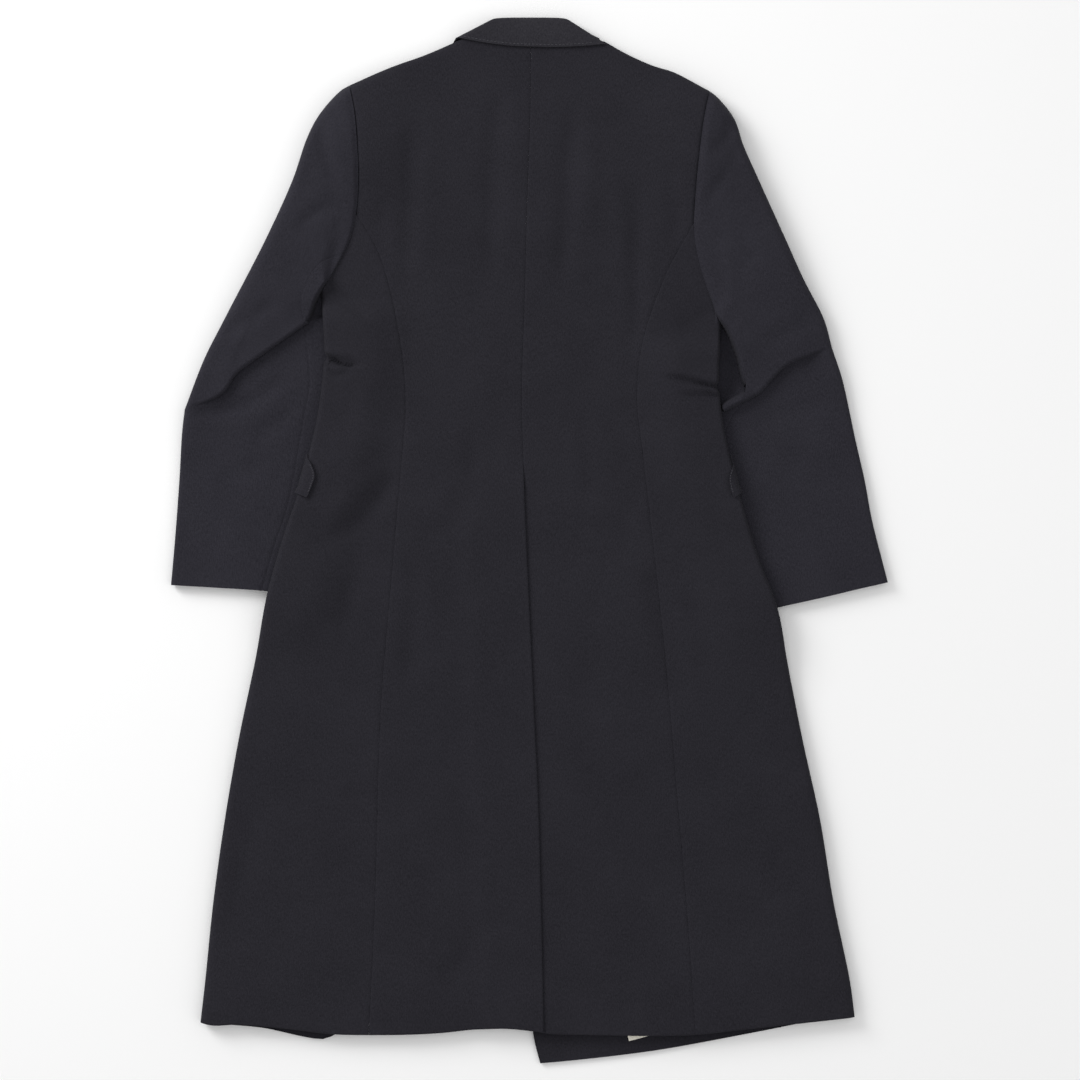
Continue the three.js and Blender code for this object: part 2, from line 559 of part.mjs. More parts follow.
// A two-piece sleeve: the top sleeve turns round the outer fold, the under sleeve round the inner one
function sleeve(half) {
  const [upper, lower] = [true, false].map((isUpper) => sleeveLayer(half, isUpper));
  const topRows = upper.rows.map((row, i) => [
    ...row.slice(0, upper.seamIndex + 1).reverse(), ...lower.rows[i].slice(1, lower.seamIndex + 1)]);
  const underRows = upper.rows.map((row, i) => [
    ...row.slice(upper.seamIndex), ...lower.rows[i].slice(lower.seamIndex, -1).reverse()]);
  const name = half.side < 0 ? 'left' : 'right';
  return [
    wall(`top_sleeve_${name}`, trimmed(topRows), CLOTH, cloth),
    wall(`under_sleeve_${name}`, trimmed(underRows), CLOTH, cloth),
  ];
}

// Collar: the fall turns round each side of the neck and lies under the fronts; the stand is inside it
const FALL = {
  rollBack: [[-42, 562], [-20, 563], [2, 563], [24, 563], [44, 562]],
  edgeBack: [[-79, 541], [-50, 535], [-22, 532], [2, 531], [30, 531], [55, 534], [83, 541]],
  rollLeft: [[-42, 562], [-51, 540], [-60, 510], [-65, 487]],
  edgeLeft: [[-79, 541], [-100, 508], [-118, 480], [-127, 466]],
  rollRight: [[44, 562], [53, 540], [61, 510], [67, 487]],
  edgeRight: [[83, 541], [100, 506], [114, 480], [121, 466]],
};
const STAND = {
  rollBack: [[-38, 558.8], [-20, 559], [2, 559], [24, 559], [40, 558.8]],
  edgeBack: [[-72, 540.6], [-64, 542], [-40, 537.4], [2, 536.2], [44, 537.4], [66, 541.4], [76, 540.6]],
  rollLeft: [[-38, 558.8], [-48, 540], [-57, 512], [-62, 492]],
  edgeLeft: [[-72, 540.6], [-77, 530], [-70, 508], [-65, 492]],
  rollRight: [[40, 558.8], [50, 540], [58, 512], [64, 492]],
  edgeRight: [[76, 540.6], [80, 530], [72, 508], [67, 492]],
};
const pathsOf = (table) => Object.fromEntries(
  Object.entries(table).map(([key, points]) => [key, Path.through(points)]));
// One sheet of the collar: it runs from the left front round the back of the neck to the right front
function collarSheet(name, table, sheet) {
  const paths = pathsOf(table);
  const line = (a, b) => Path.through([[0, 0], [0, 0]], a, b);
  const turns = [0, 1].map((share) => line(paths.rollBack.at(share), paths.edgeBack.at(share)));
  const back = patch(paths.rollBack, paths.edgeBack, turns[0], turns[1]);
  const ends = ['Left', 'Right'].map((side, i) => {
    const [roll, edge] = [paths['roll' + side], paths['edge' + side]];
    return patch(roll, edge, turns[i], line(roll.at(1), edge.at(1)));
  });
  const spots = [0, 0.12, 0.45, 1].map((share) => share * sheet.radius);
  const rows = sheet.down.map((v) => {
    const roll = sheet.rolled ? Math.sqrt(1 - (1 - Math.min(1, v / 0.12)) ** 2) : 1;
    const tilt = (point, away) => {
      point.inward.multiplyScalar(Math.max(roll, 0.05)).addScaledVector(away, 1 - roll).normalize();
      return point;
    };
    const row = rowOf(back, v);
    const near = spots.map((d) => d / row.length);
    const columns = [...near, 0.28, 0.5, 0.72, ...near.map((share) => 1 - share).reverse()];
    const upper = columns.map((u) => {
      const at = row.at(u);
      const outward = row.at(u < 0.5 ? 0 : 1).sub(row.at(u < 0.5 ? 0.1 : 0.9)).normalize();
      const level = mix(sheet.backRoll, sheet.backLevel(at, v), roll);
      const d = Math.min(u, 1 - u) * row.length;
      const point = turned(true, at, d, sheet.radius, level, sheet.mid, outward);
      return tilt(point, new THREE.Vector3(0, -1, 0));
    });
    const lower = ends.map((surface) => {
      const end = rowOf(surface, v);
      const outward = end.at(0).sub(end.at(0.1)).normalize();
      const away = surface(0.5, 1).sub(surface(0.5, 0)).normalize();
      const level = mix(sheet.frontRoll, sheet.frontLevel, roll);
      return [...spots.slice(1), 0.55 * end.length, 0.8 * end.length, end.length].map((d) =>
        tilt(turned(false, end.at(d / end.length), d, sheet.radius, level, sheet.mid, outward), away));
    });
    return [...lower[0].reverse(), ...upper, ...lower[1]];
  });
  return wall(name, rows, sheet.cloth, cloth);
}
const neckTop = (p) => backTop(p.x, Math.min(p.y, 532));
const fall = collarSheet('collar_fall', FALL, {
  cloth: COLLAR_CLOTH, rolled: true, radius: 7, mid: 8.5, down: [0, 0.012, 0.05, 0.12, 0.4, 0.7, 1],
  backRoll: 9, backLevel: (p, v) => neckTop(p) + COLLAR_CLOTH + 2 * SEAM - 4 * (1 - v) ** 2,
  frontRoll: 3, frontLevel: 0,
});
const stand = collarSheet('collar_stand', STAND, {
  cloth: STAND_CLOTH, rolled: false, radius: 4, mid: 8.6, down: [0, 0.3, 0.6, 1],
  backRoll: 9, backLevel: (p, v) => neckTop(p) - SEAM - 4.4 * (1 - v) ** 2,
  frontRoll: 4, frontLevel: COLLAR_CLOTH + 3 * SEAM,
});

// Lapels, turned back on the fronts. The left one ends where the right front covers it
const LAPELS = {
  left: {
    roll: [[-63, 485], [-44, 424], [-8, 326]],
    gorge: [[-63, 485], [-103, 471.5], [-155, 446]],
    outer: [[-155, 446], [-128, 384], [-54, 322]],
    foot: [[-8, 326], [-54, 322]],
  },
  right: {
    roll: [[65, 485], [46, 428], [-24, 266]],
    gorge: [[65, 485], [99, 472.5], [147, 446]],
    outer: [[147, 446], [120, 378], [58, 306], [-10, 262]],
    foot: [[-24, 266], [-10, 262]],
  },
};
function lapel(name) {
  const paths = pathsOf(LAPELS[name]);
  const plan = patch(paths.gorge, paths.foot, paths.roll, paths.outer);
  const rows = shares(8).map((v) => shares(5).map((u) => ({ p: plan(u, v), inward: UP })));
  return wall(`lapel_${name}`, rows, LAPEL_CLOTH, cloth);
}

// Pocket flaps on the outside of the side and front panels. Each tip turns round the side fold
const FLAP_ROWS = [
  { y: FLAP.top, tip: 2 },
  { y: 83, tip: 7 },
  { y: 72, tip: 11 },
  { y: 58, tip: 8 },
  { y: FLAP.bottom, tip: 3 },
];
function flap(half) {
  const rows = FLAP_ROWS.map(({ y, tip }) => {
    const edge = new THREE.Vector3(half.fold.xAt(y), y, 0);
    const slope = (half.fold.xAt(y + 10) - half.fold.xAt(y - 10)) / 20;
    const outward = new THREE.Vector3(half.side, -half.side * slope, 0).normalize();
    const radius = foldRadius(edge);
    const point = (upper, run, gap) => {
      const at = new THREE.Vector3(edge.x - half.side * run, y, 0);
      const level = (upper ? backTop : base)(at.x, y);
      const distance = run * Math.abs(outward.x);
      const { p, inward } = turned(upper, at, distance, radius, level, midFold(edge), outward);
      return { p: p.addScaledVector(inward, -FLAP_CLOTH - gap), inward };
    };
    return [
      ...[1, 0.66, 0.33].map((share) => point(true, share * tip, FLAP_TIP_GAP)),
      ...[0, 0.12, 0.45, 1].map((share) => point(false, share * radius, FLAP_GAP)),
      ...shares(9).slice(1).map((share) => point(false, mix(radius, FLAP.length, share), FLAP_GAP)),
    ];
  });
  return wall(half.side < 0 ? 'flap_left' : 'flap_right', rows, FLAP_CLOTH, cloth);
}

// Front buttons on the right front, rims to the table, as [radius, height]: a dished face in a raised rim
const BUTTON_PROFILE = [[0, 0.6], [8, 0.6], [9, 0], [10.5, 0], [BUTTON.radius, 1], [BUTTON.radius, 2.4],
  [10.6, BUTTON.thick], [0, BUTTON.thick]];
function button(i) {
  const profile = BUTTON_PROFILE.map(([r, z]) => new THREE.Vector2(r, z));
  const mesh = new THREE.Mesh(new THREE.LatheGeometry(profile, 24), horn);
  mesh.rotateX(Math.PI / 2);
  mesh.position.set(CENTRE_FRONT, BUTTON.top - i * BUTTON.spacing, 0);
  mesh.name = `button_${i + 1}`;
  return mesh;
}

// Blank care label, lying on the inside of the right front with a corner below the back's hem
const LABEL = { width: 45, height: 30, thick: 0.6, x: 125.8, y: -519.7, turn: 15 };
function label() {
  const mesh = new THREE.Mesh(new THREE.BoxGeometry(LABEL.width, LABEL.height, LABEL.thick), satin);
  mesh.position.set(LABEL.x, LABEL.y, FRONT_CLOTH + SEAM + LABEL.thick / 2);
  mesh.rotation.z = THREE.MathUtils.degToRad(LABEL.turn);
  mesh.name = 'care_label';
  return mesh;
}

const coat = new THREE.Group();
for (const half of [LEFT, RIGHT]) {
  coat.add(back(half), sidePanel(half), front(half), ...sleeve(half), flap(half));
}
coat.add(fall, stand, lapel('left'), lapel('right'), label());
for (let i = 0; i < BUTTON.count; i++) coat.add(button(i));

// The origin is under the middle of the coat, on the table
const box = new THREE.Box3().setFromObject(coat);
const middle = box.getCenter(new THREE.Vector3());
coat.position.set(-middle.x, -middle.y, -box.min.z);

export default coat;
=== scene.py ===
import math

import bpy
import numpy as np
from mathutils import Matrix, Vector, noise


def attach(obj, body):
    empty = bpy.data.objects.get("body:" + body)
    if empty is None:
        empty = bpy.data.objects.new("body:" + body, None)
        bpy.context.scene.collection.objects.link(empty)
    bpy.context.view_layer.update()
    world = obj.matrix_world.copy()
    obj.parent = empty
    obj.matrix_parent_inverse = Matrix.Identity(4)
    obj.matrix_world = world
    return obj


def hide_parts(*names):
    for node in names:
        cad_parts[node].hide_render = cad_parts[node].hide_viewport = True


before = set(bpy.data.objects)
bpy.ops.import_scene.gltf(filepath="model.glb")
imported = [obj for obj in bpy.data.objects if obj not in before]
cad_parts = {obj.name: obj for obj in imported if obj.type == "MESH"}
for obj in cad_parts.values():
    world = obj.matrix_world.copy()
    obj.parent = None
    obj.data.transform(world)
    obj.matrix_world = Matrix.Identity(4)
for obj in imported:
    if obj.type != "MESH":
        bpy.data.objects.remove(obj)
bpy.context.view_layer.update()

# ---------------------------------------------------------------------------
# Table, lights and camera: the coat lies on a pale table under soft light from the upper left,
# and is seen from straight above.
TABLE_SIZE, TABLE_DROP = 9.0, 0.0005
VIEW_WIDTH = 1.1664            # metres across the picture
VIEW_CENTRE = (0.0114, 0.001)
LENS, SENSOR = 100.0, 36.0


def linear(code):
    """An sRGB hex colour as linear RGBA."""
    values = [int(code[i:i + 2], 16) / 255 for i in (1, 3, 5)]
    return [v / 12.92 if v <= 0.04045 else ((v + 0.055) / 1.055) ** 2.4 for v in values] + [1.0]


def add_node(tree, kind, settings=None, links=None):
    """A node with its settings (properties or sockets) and the sockets that feed it."""
    made = tree.nodes.new(kind)
    for key, value in (settings or {}).items():
        if isinstance(key, str) and hasattr(made, key):
            setattr(made, key, value)
        else:
            made.inputs[key].default_value = value
    for key, source in (links or {}).items():
        tree.links.new(source, made.inputs[key])
    return made


def new_material(name):
    material = bpy.data.materials.new(name)
    material.use_nodes = True
    tree = material.node_tree
    return material, tree, tree.nodes["Principled BSDF"]


bpy.ops.mesh.primitive_plane_add(size=TABLE_SIZE, location=(0, 0, -TABLE_DROP))
table = bpy.context.object
table.name = "table"
paint, tree, surface = new_material("matt_white_paint")
surface.inputs["Base Color"].default_value = linear("#FBFBFB")
surface.inputs["Roughness"].default_value = 0.95
table.data.materials.append(paint)

world = bpy.data.worlds.new("studio")
bpy.context.scene.world = world
world.use_nodes = True
world.node_tree.nodes["Background"].inputs["Color"].default_value = linear("#FFFFFF")
world.node_tree.nodes["Background"].inputs["Strength"].default_value = 0.55

LIGHTS = [("key", (-2.6, 2.0, 1.8), 1.7, 92.0),   # name, place and width in metres, watts
          ("fill", (2.2, -0.8, 2.4), 2.6, 12.0),
          ("top", (0.0, 0.3, 3.4), 2.4, 12.0)]
for name, place, size, power in LIGHTS:
    bpy.ops.object.light_add(type="AREA", location=place)
    lamp = bpy.context.object
    lamp.name = name
    lamp.data.size = size
    lamp.data.energy = power
    lamp.rotation_euler = (-Vector(place)).to_track_quat("-Z", "Y").to_euler()

bpy.ops.object.camera_add(location=(*VIEW_CENTRE, VIEW_WIDTH * LENS / SENSOR), rotation=(0, 0, 0))
camera = bpy.context.object
camera.data.lens = LENS
camera.data.sensor_width = SENSOR
bpy.context.scene.camera = camera
bpy.context.scene.view_settings.view_transform = "Standard"

# ---------------------------------------------------------------------------
# Back panels: two long pieces of worsted coating, sewn down the centre back and open below the
# waist in a vent, where the left one lies on the right one. Their seams are pressed open.
# All plan sizes are in millimetres, from the coat's drawing origin.
ORIGIN = (-0.5, 0.45)          # of the drawing in the coat's frame
CLOTH = 2.0                    # coating with its backing
SEAM = 0.3                     # gap between two sewn pieces
COAT_LOFT = 14.0               # height of the laid coat's back
FOREARM_LOFT = 10.0            # height of the flattened lower sleeve
FLAP_CLOTH, FLAP_GAP = 2.4, 1.1
CHEST_LIFT = 3.5               # of the fronts, over the lapels and buttons
FLAP_LIFT = FLAP_CLOTH + FLAP_GAP + SEAM
SLEEVE_LIFT = FOREARM_LOFT + 2 * SEAM
CENTRE_FRONT, BREAK_Y = -5.0, 262.0

LEFT = dict(
    side=-1, name="left", elbow_ridge=0.0, notch_y=197,
    shoulder=[(-81, 536), (-111, 523), (-147, 510), (-193, 490)],
    armhole=[(-193, 490), (-187, 460), (-184, 425), (-183, 400), (-185, 357), (-192, 325), (-206, 296),
             (-224, 267)],
    fold=[(-224, 267), (-221, 230), (-220, 197), (-228, 130), (-248, 51), (-265, 1), (-281, -56), (-295, -129),
          (-313, -215), (-328, -302), (-340, -388), (-349, -475), (-354, -519)],
    princess=[(-184, 362), (-161, 307), (-139, 216), (-133, 150), (-139, 65), (-149, -50), (-160, -190),
              (-166, -388), (-173, -532)],
    front_seam=[(-190, 333), (-170, 250), (-163, 180), (-172, 110), (-198, 20), (-222, -70), (-245, -215),
                (-262, -360), (-274, -528)],
    hem_back=[(16, -529), (-23, -525), (-57, -526), (-96, -530), (-150, -532), (-214, -531), (-255, -526),
              (-315, -521), (-339, -522), (-354, -519)],
    hem_front=[(-354, -519), (-328, -522), (-286, -526), (-239, -536), (-221, -538), (-213, -535), (-200, -528),
               (-175, -521), (-120, -518), (-12, -518)],
    front_edge=[(-81, 536), (-64, 480), (17, 262), (17, 40), (-12, -518)],
    outer_arm=[(-193, 490), (-203, 484), (-226, 458), (-239, 433), (-254, 389), (-283, 325), (-328, 238),
               (-350, 195), (-371, 141)],
    outer_forearm=[(-371, 141), (-374, 115), (-377, 65), (-381, 10), (-386, -48)],
    elbow=[(-371, 141), (-345, 148), (-331, 158), (-318, 178), (-296, 195), (-274, 211), (-242, 234)],
    seam_arm=[(-194, 325), (-226, 296), (-244, 262), (-242, 234)],
    seam_forearm=[(-242, 234), (-239, 206), (-236, 173), (-243, 130), (-260, 38), (-274, -5), (-288, -54)],
    inner_arm=[(-224, 267), (-214, 256), (-206, 238)],
    inner_forearm=[(-206, 238), (-201, 222), (-197, 200), (-193, 170), (-199, 120), (-213, 60), (-232, 0),
                   (-249, -58)],
    cuff=[(-386, -48), (-334, -51), (-288, -54), (-249, -58)],
    pit_edge=[(-184, 330), (-197, 300), (-214, 281), (-222, 270), (-229.5, 256), (-232.5, 246), (-236, 238),
              (-242, 232)],
    back_seam_at=0.6, front_seam_at=0.72, lift_from=262, lift_full=236, cuff_end=-62,
)
RIGHT = dict(
    side=1, name="right", elbow_ridge=1.0, notch_y=165,
    shoulder=[(84, 536), (105, 524), (134, 511), (156, 504), (194, 484)],
    armhole=[(194, 484), (187, 450), (181, 400), (178, 360), (177, 335), (182, 303), (192, 270), (207, 232)],
    fold=[(207, 232), (205, 205), (204, 182), (208, 130), (222, 65), (246, -16), (267, -72), (278, -129),
          (295, -215), (314, -302), (328, -388), (346, -475), (351, -513)],
    princess=[(178, 344), (147, 286), (122, 213), (116, 157), (123, 87), (137, -35), (147, -129), (158, -260),
              (170, -400), (178, -532)],
    front_seam=[(178, 325), (160, 240), (152, 170), (160, 100), (185, 10), (208, -75), (232, -215), (252, -360),
                (272, -525)],
    hem_back=[(-30, -521), (-8, -522), (16, -530), (68, -532), (136, -533), (178, -532), (225, -527),
              (260, -523), (307, -518), (351, -513)],
    hem_front=[(351, -513), (309, -518), (272, -525), (241, -531), (137, -550), (46, -561), (12, -564)],
    front_edge=[(84, 536), (66, 480), (-27, 262), (-27, 40), (4, -529), (12, -564)],
    outer_arm=[(194, 484), (202, 478), (221, 454), (231, 425), (247, 389), (276, 325), (296, 281), (318, 238),
               (327, 206)],
    outer_forearm=[(327, 206), (338, 173), (352, 109), (362, 65), (370, 22), (387, -45)],
    elbow=[(327, 206), (305, 198), (275, 186), (258, 170), (247, 158), (231, 150)],
    seam_arm=[(178, 312), (211, 276), (229, 226), (234, 185), (231, 150)],
    seam_forearm=[(231, 150), (219, 134), (209, 110), (209, 65), (224, 20), (241, -25), (256, -75)],
    inner_arm=[(207, 232), (198, 220), (190, 203), (184, 170), (184, 128)],
    inner_forearm=[(184, 128), (182, 110), (188, 80), (205, 20), (225, -35), (241, -79)],
    cuff=[(387, -45), (352, -53), (323, -60), (256, -75), (241, -79)],
    pit_edge=[(170, 312), (180, 280), (192, 255), (203, 238), (212, 226), (218, 213), (224, 196), (228, 178),
              (233, 167), (242, 159)],
    back_seam_at=0.56, front_seam_at=0.66, lift_from=227, lift_full=200, cuff_end=-84,
)
NECK_BACK = {-1: [(2, 535), (-40, 536), (-66, 540), (-81, 536)],
             1: [(2, 535), (44, 536), (68, 539), (84, 536)]}
CENTRE_BACK = [(2, 535), (1, 454), (-2, 368), (-5, 260), (-8, 152), (-5, 51)]
VENT_EDGE = [(-5, 51), (-1, -40), (5, -172), (10, -280), (13, -388), (16, -529)]
VENT_UNDER = [(-5, 51), (-51, 12), (-46, -120), (-36, -300), (-30, -521)]
VENT_TOP, VENT_UNDERLAP = 51, 46
# Where the laid coat stands higher, at the shoulder blades, back and seat: middle, half widths, rise
MOUNDS = [(-182, 438, 58, 66, 13), (182, 432, 58, 66, 13), (0, 330, 150, 130, 3), (0, -90, 190, 170, 2)]

# Creases that were in the cloth as the coat was laid down. Each is a soft trough (depth above 0) or
# ridge (below 0) along a line, with a half width, and fades out at both ends.
BACK_CREASES = [
    (2.4, 11, [(-29, 497), (-37, 432), (-40, 346), (-42, 260)]),
    (-1.2, 12, [(-12, 480), (-18, 400), (-22, 300)]),
    (2.9, 11, [(49, 476), (44, 411), (41, 346), (36, 292), (31, 246)]),
    (-1.4, 13, [(66, 460), (62, 380), (58, 300)]),
    (2.2, 10, [(-125, 465), (-127, 368), (-131, 303), (-134, 249)]),
    (-1.2, 10, [(-106, 440), (-110, 360), (-114, 280)]),
    (1.5, 7, [(-157, 373), (-160, 330), (-152, 290)]),
    (2.4, 10, [(107, 400), (117, 368), (117, 303), (116, 240), (112, 190)]),
    (-1.2, 10, [(92, 400), (98, 330), (97, 260)]),
    (1.4, 8, [(152, 410), (158, 350), (150, 300)]),
    (2.6, 11, [(-134, 76), (-172, 33), (-193, 11), (-226, -5), (-247, -21)]),
    (-1.6, 12, [(-150, 88), (-190, 50), (-228, 24)]),
    (2.6, 12, [(-126, -10), (-123, -64), (-127, -120), (-129, -172)]),
    (1.6, 10, [(-188, -32), (-194, -70), (-199, -107)]),
    (1.7, 9, [(-200, -268), (-186, -276), (-172, -280)]),
    (2.0, 10, [(39, 60), (77, 49), (109, 22), (122, 14)]),
    (3.0, 12, [(130, -21), (141, -75), (154, -140), (176, -183)]),
    (-1.5, 14, [(158, -30), (172, -90), (190, -140)]),
    (2.2, 15, [(-21, -394), (-64, -442), (-91, -496)]),
    (1.9, 14, [(98, -383), (131, -421), (163, -475)]),
    (2.0, 13, [(-285, -270), (-307, -345), (-318, -453)]),
    (2.0, 12, [(303, -388), (314, -475)]),
    (1.2, 16, [(60, -120), (66, -220), (82, -320)]),
    (1.0, 14, [(-70, -100), (-78, -200), (-74, -300)]),
    (4.4, 2.8, [(-238, 197.5), (-222, 196), (-210, 194), (-198, 189.5), (-187, 187.7), (-174, 187)]),
    (-1.2, 3.0, [(-230, 194), (-217, 191.5), (-211, 187), (-201, 184), (-190, 185)]),
    (2.4, 3.0, [(-232, 192), (-217, 187.5), (-208.5, 180), (-198, 178.5), (-188, 179)]),
    (-2.8, 3.4, [(-240, 206), (-222, 203), (-205, 200), (-186, 196)]),
    (5.2, 2.7, [(218, 160.5), (204.6, 163), (192, 165.8), (183.4, 168.3), (158, 173.6), (138, 175)]),
    (-1.8, 2.4, [(218, 157), (203, 159.5), (188, 162), (168, 164)]),
    (3.4, 2.6, [(218, 154), (201.5, 155.4), (178.8, 155.4), (158, 157)]),
    (-2.8, 3.6, [(222, 168), (200, 171), (172, 178)]),
    (2.6, 8, [(-226, 284), (-205, 266), (-185, 250), (-160, 230)]),
    (1.5, 8, [(200, 250), (180, 236), (160, 222)]),
    (1.2, 9, [(-60, 130), (-64, 60), (-70, 0)]),
    (1.2, 9, [(60, 150), (62, 90), (70, 20)]),
]


def smooth(value, low, high):
    """0 below low, 1 above high, and a soft step between."""
    s = np.clip((value - low) / (high - low), 0, 1)
    return s * s * (3 - 2 * s)


def polyline(points):
    """A line with the length reached at each of its points."""
    points = np.asarray(points, float)
    reach = np.concatenate([[0], np.cumsum(np.hypot(*np.diff(points, axis=0).T))])
    return points, reach


def through(table, start=None, end=None):
    """A smooth line through a table of points, closer to the coat's drafted seams than straight runs."""
    knots = [np.array(p, float) for p in table]
    if start is not None:
        knots[0] = np.array(start, float)
    if end is not None:
        knots[-1] = np.array(end, float)
    knots = [2 * knots[0] - knots[1], *knots, 2 * knots[-1] - knots[-2]]
    count = 12 * len(table)
    made = []
    for i in range(count + 1):
        place = i / count * (len(table) - 1)
        k = min(int(place), len(table) - 2)
        w = place - k
        p0, p1, p2, p3 = knots[k:k + 4]
        d0, d1, d2 = (max(np.sum((b - a) ** 2) ** 0.25, 1e-4) for a, b in ((p0, p1), (p1, p2), (p2, p3)))
        t1 = ((p1 - p0) / d0 - (p2 - p0) / (d0 + d1) + (p2 - p1) / d1) * d1
        t2 = ((p2 - p1) / d1 - (p3 - p1) / (d1 + d2) + (p3 - p2) / d2) * d1
        made.append(p1 + t1 * w + (-3 * p1 + 3 * p2 - 2 * t1 - t2) * w ** 2
                    + (2 * p1 - 2 * p2 + t1 + t2) * w ** 3)
    return polyline(made)


def drawn(creases):
    """Creases with the points of each joined into a smooth line."""
    return [(deep, half_width, through(points)[0][::2]) for deep, half_width, points in creases]


def along(line, share):
    points, reach = line
    at = np.clip(share, 0, 1) * reach[-1]
    return np.stack([np.interp(at, reach, points[:, 0]), np.interp(at, reach, points[:, 1])], -1)


def part_of(line, low, high):
    return polyline(along(line, np.linspace(low, high, 61)))


def share_near(line, target):
    shares = np.linspace(0, 1, 1001)
    return shares[np.argmin(np.hypot(*(along(line, shares) - np.asarray(target)).T))]


def x_at(line, y):
    points = line[0]
    return np.interp(-np.asarray(y, float), -points[:, 1], points[:, 0])


def distance_to(points, x, y):
    """Distance from each place to a line, and the share of the line's length nearest to it."""
    points, reach = polyline(points)
    best = np.full(np.shape(x), np.inf)
    share = np.zeros(np.shape(x))
    for (ax, ay), (bx, by), start, end in zip(points[:-1], points[1:], reach[:-1], reach[1:]):
        length = max(math.hypot(bx - ax, by - ay), 1e-9)
        t = np.clip(((x - ax) * (bx - ax) + (y - ay) * (by - ay)) / length ** 2, 0, 1)
        d = np.hypot(x - ax - t * (bx - ax), y - ay - t * (by - ay))
        closer = d < best
        best = np.where(closer, d, best)
        share = np.where(closer, (start + t * (end - start)) / reach[-1], share)
    return best, share


def joined(first, second, split):
    def at(v):
        v = np.asarray(v, float)
        early = along(first, v / split)
        late = along(second, (v - split) / (1 - split))
        return np.where((v < split)[..., None], early, late)
    return at


def as_path(line):
    return line if callable(line) else (lambda v: along(line, np.asarray(v, float)))


def patch(top, bottom, first, last):
    """Plan points of the sheet between four edges, u across and v down."""
    top, bottom, first, last = (as_path(line) for line in (top, bottom, first, last))

    def at(u, v):
        u, v = np.broadcast_arrays(np.asarray(u, float), np.asarray(v, float))
        a, b = u[..., None], v[..., None]
        p = top(u) * (1 - b) + bottom(u) * b + first(v) * (1 - a) + last(v) * a
        p -= first(0.0) * (1 - a) * (1 - b) + last(0.0) * a * (1 - b)
        return p - first(1.0) * (1 - a) * b - last(1.0) * a * b
    return at


def row_of(surface, v):
    return polyline(surface(np.linspace(0, 1, 49), v))


for half in (LEFT, RIGHT):
    for key in ("shoulder", "armhole", "fold", "hem_back", "hem_front", "front_edge", "outer_arm",
                "outer_forearm", "elbow", "inner_arm", "inner_forearm", "cuff", "seam_forearm", "pit_edge"):
        half[key] = through(half[key])
    ends = [half["hem_" + layer][0][np.argmin(np.hypot(*(half["hem_" + layer][0] - half[seam][-1]).T))]
            for layer, seam in (("back", "princess"), ("front", "front_seam"))]
    half["princess"] = through(half["princess"], along(half["armhole"], half["back_seam_at"]), ends[0])
    half["front_seam"] = through(half["front_seam"], along(half["armhole"], half["front_seam_at"]), ends[1])
HALVES = (LEFT, RIGHT)
BACK_CREASES = drawn(BACK_CREASES)


def sleeve_lift(x, y):
    lift = 0
    for half in HALVES:
        inside = half["side"] * (x_at(half["fold"], y) - x)
        down = 1 - smooth(y, half["lift_full"], half["lift_from"])
        down = down * smooth(y, half["cuff_end"] - 70, half["cuff_end"])
        lift = lift + SLEEVE_LIFT * (1 - smooth(inside, 44, 96)) * down
    return lift


def flap_lift(x, y):
    lift = 0
    for half in HALVES:
        inside = half["side"] * (x_at(half["fold"], y) - x)
        down = smooth(y, 6, 38) * (1 - smooth(y, 100, 132))
        lift = lift + FLAP_LIFT * (1 - smooth(inside, 158, 190)) * down
    return lift


def chest_lift(x, y):
    half_width = 38 + 120 * smooth(y, BREAK_Y - 40, 400)
    beside = 1 - smooth(np.abs(x - CENTRE_FRONT), half_width, half_width + 30)
    return CHEST_LIFT * beside * smooth(y, -150, 30)


def base(x, y):
    return sleeve_lift(x, y) + flap_lift(x, y) + chest_lift(x, y)


def loft(x, y):
    height = COAT_LOFT + sum(rise * np.exp(-((x - mx) / rx) ** 2 - ((y - my) / ry) ** 2)
                             for mx, my, rx, ry, rise in MOUNDS)
    return height + 0.8 * sleeve_lift(x, y) + 0.5 * flap_lift(x, y)


def crease_depth(creases, x, y):
    depth = np.zeros(np.shape(x))
    for deep, half_width, points in creases:
        d, share = distance_to(points, x, y)
        fade = smooth(share, 0, 0.2) * (1 - smooth(share, 0.7, 1))
        depth += deep * np.where((share > 0) & (share < 1), fade, 0) * np.exp(-(d / half_width) ** 2)
    return depth


def ripple(x, y, size, seed):
    """Low uneven swell of the cloth, from -1 to 1, with bumps about size millimetres across."""
    flat = [noise.noise(Vector((a / size, b / size, seed))) for a, b in zip(np.ravel(x), np.ravel(y))]
    return np.reshape(flat, np.shape(x)) * 1.6


def back_top(x, y):
    level = loft(x, y) - crease_depth(BACK_CREASES, x, y)
    return level + 0.45 * ripple(x, y, 48, 2.0) + 0.22 * ripple(x, y, 17, 7.0)


def mid_fold(x, y):
    return (loft(x, y) + base(x, y)) / 2


def fold_radius(x, y):
    return 0.55 * (loft(x, y) - base(x, y))


def turned(upper, distance, radius, level, mid, outward):
    """Height and inward direction of cloth a distance in from a rounded fold."""
    s = np.clip(distance / radius, 0, 1)
    rise = np.sqrt(1 - (1 - s) ** 2)
    z = mid + (level - mid) * rise
    inward = np.stack([-outward[..., 0] * (1 - s), -outward[..., 1] * (1 - s), -rise if upper else rise], -1)
    return z, inward / np.maximum(np.linalg.norm(inward, axis=-1, keepdims=True), 1e-9)


SHOULDER_OUT = (0.37, 0.93)    # plan direction out of the shoulder fold, on the right


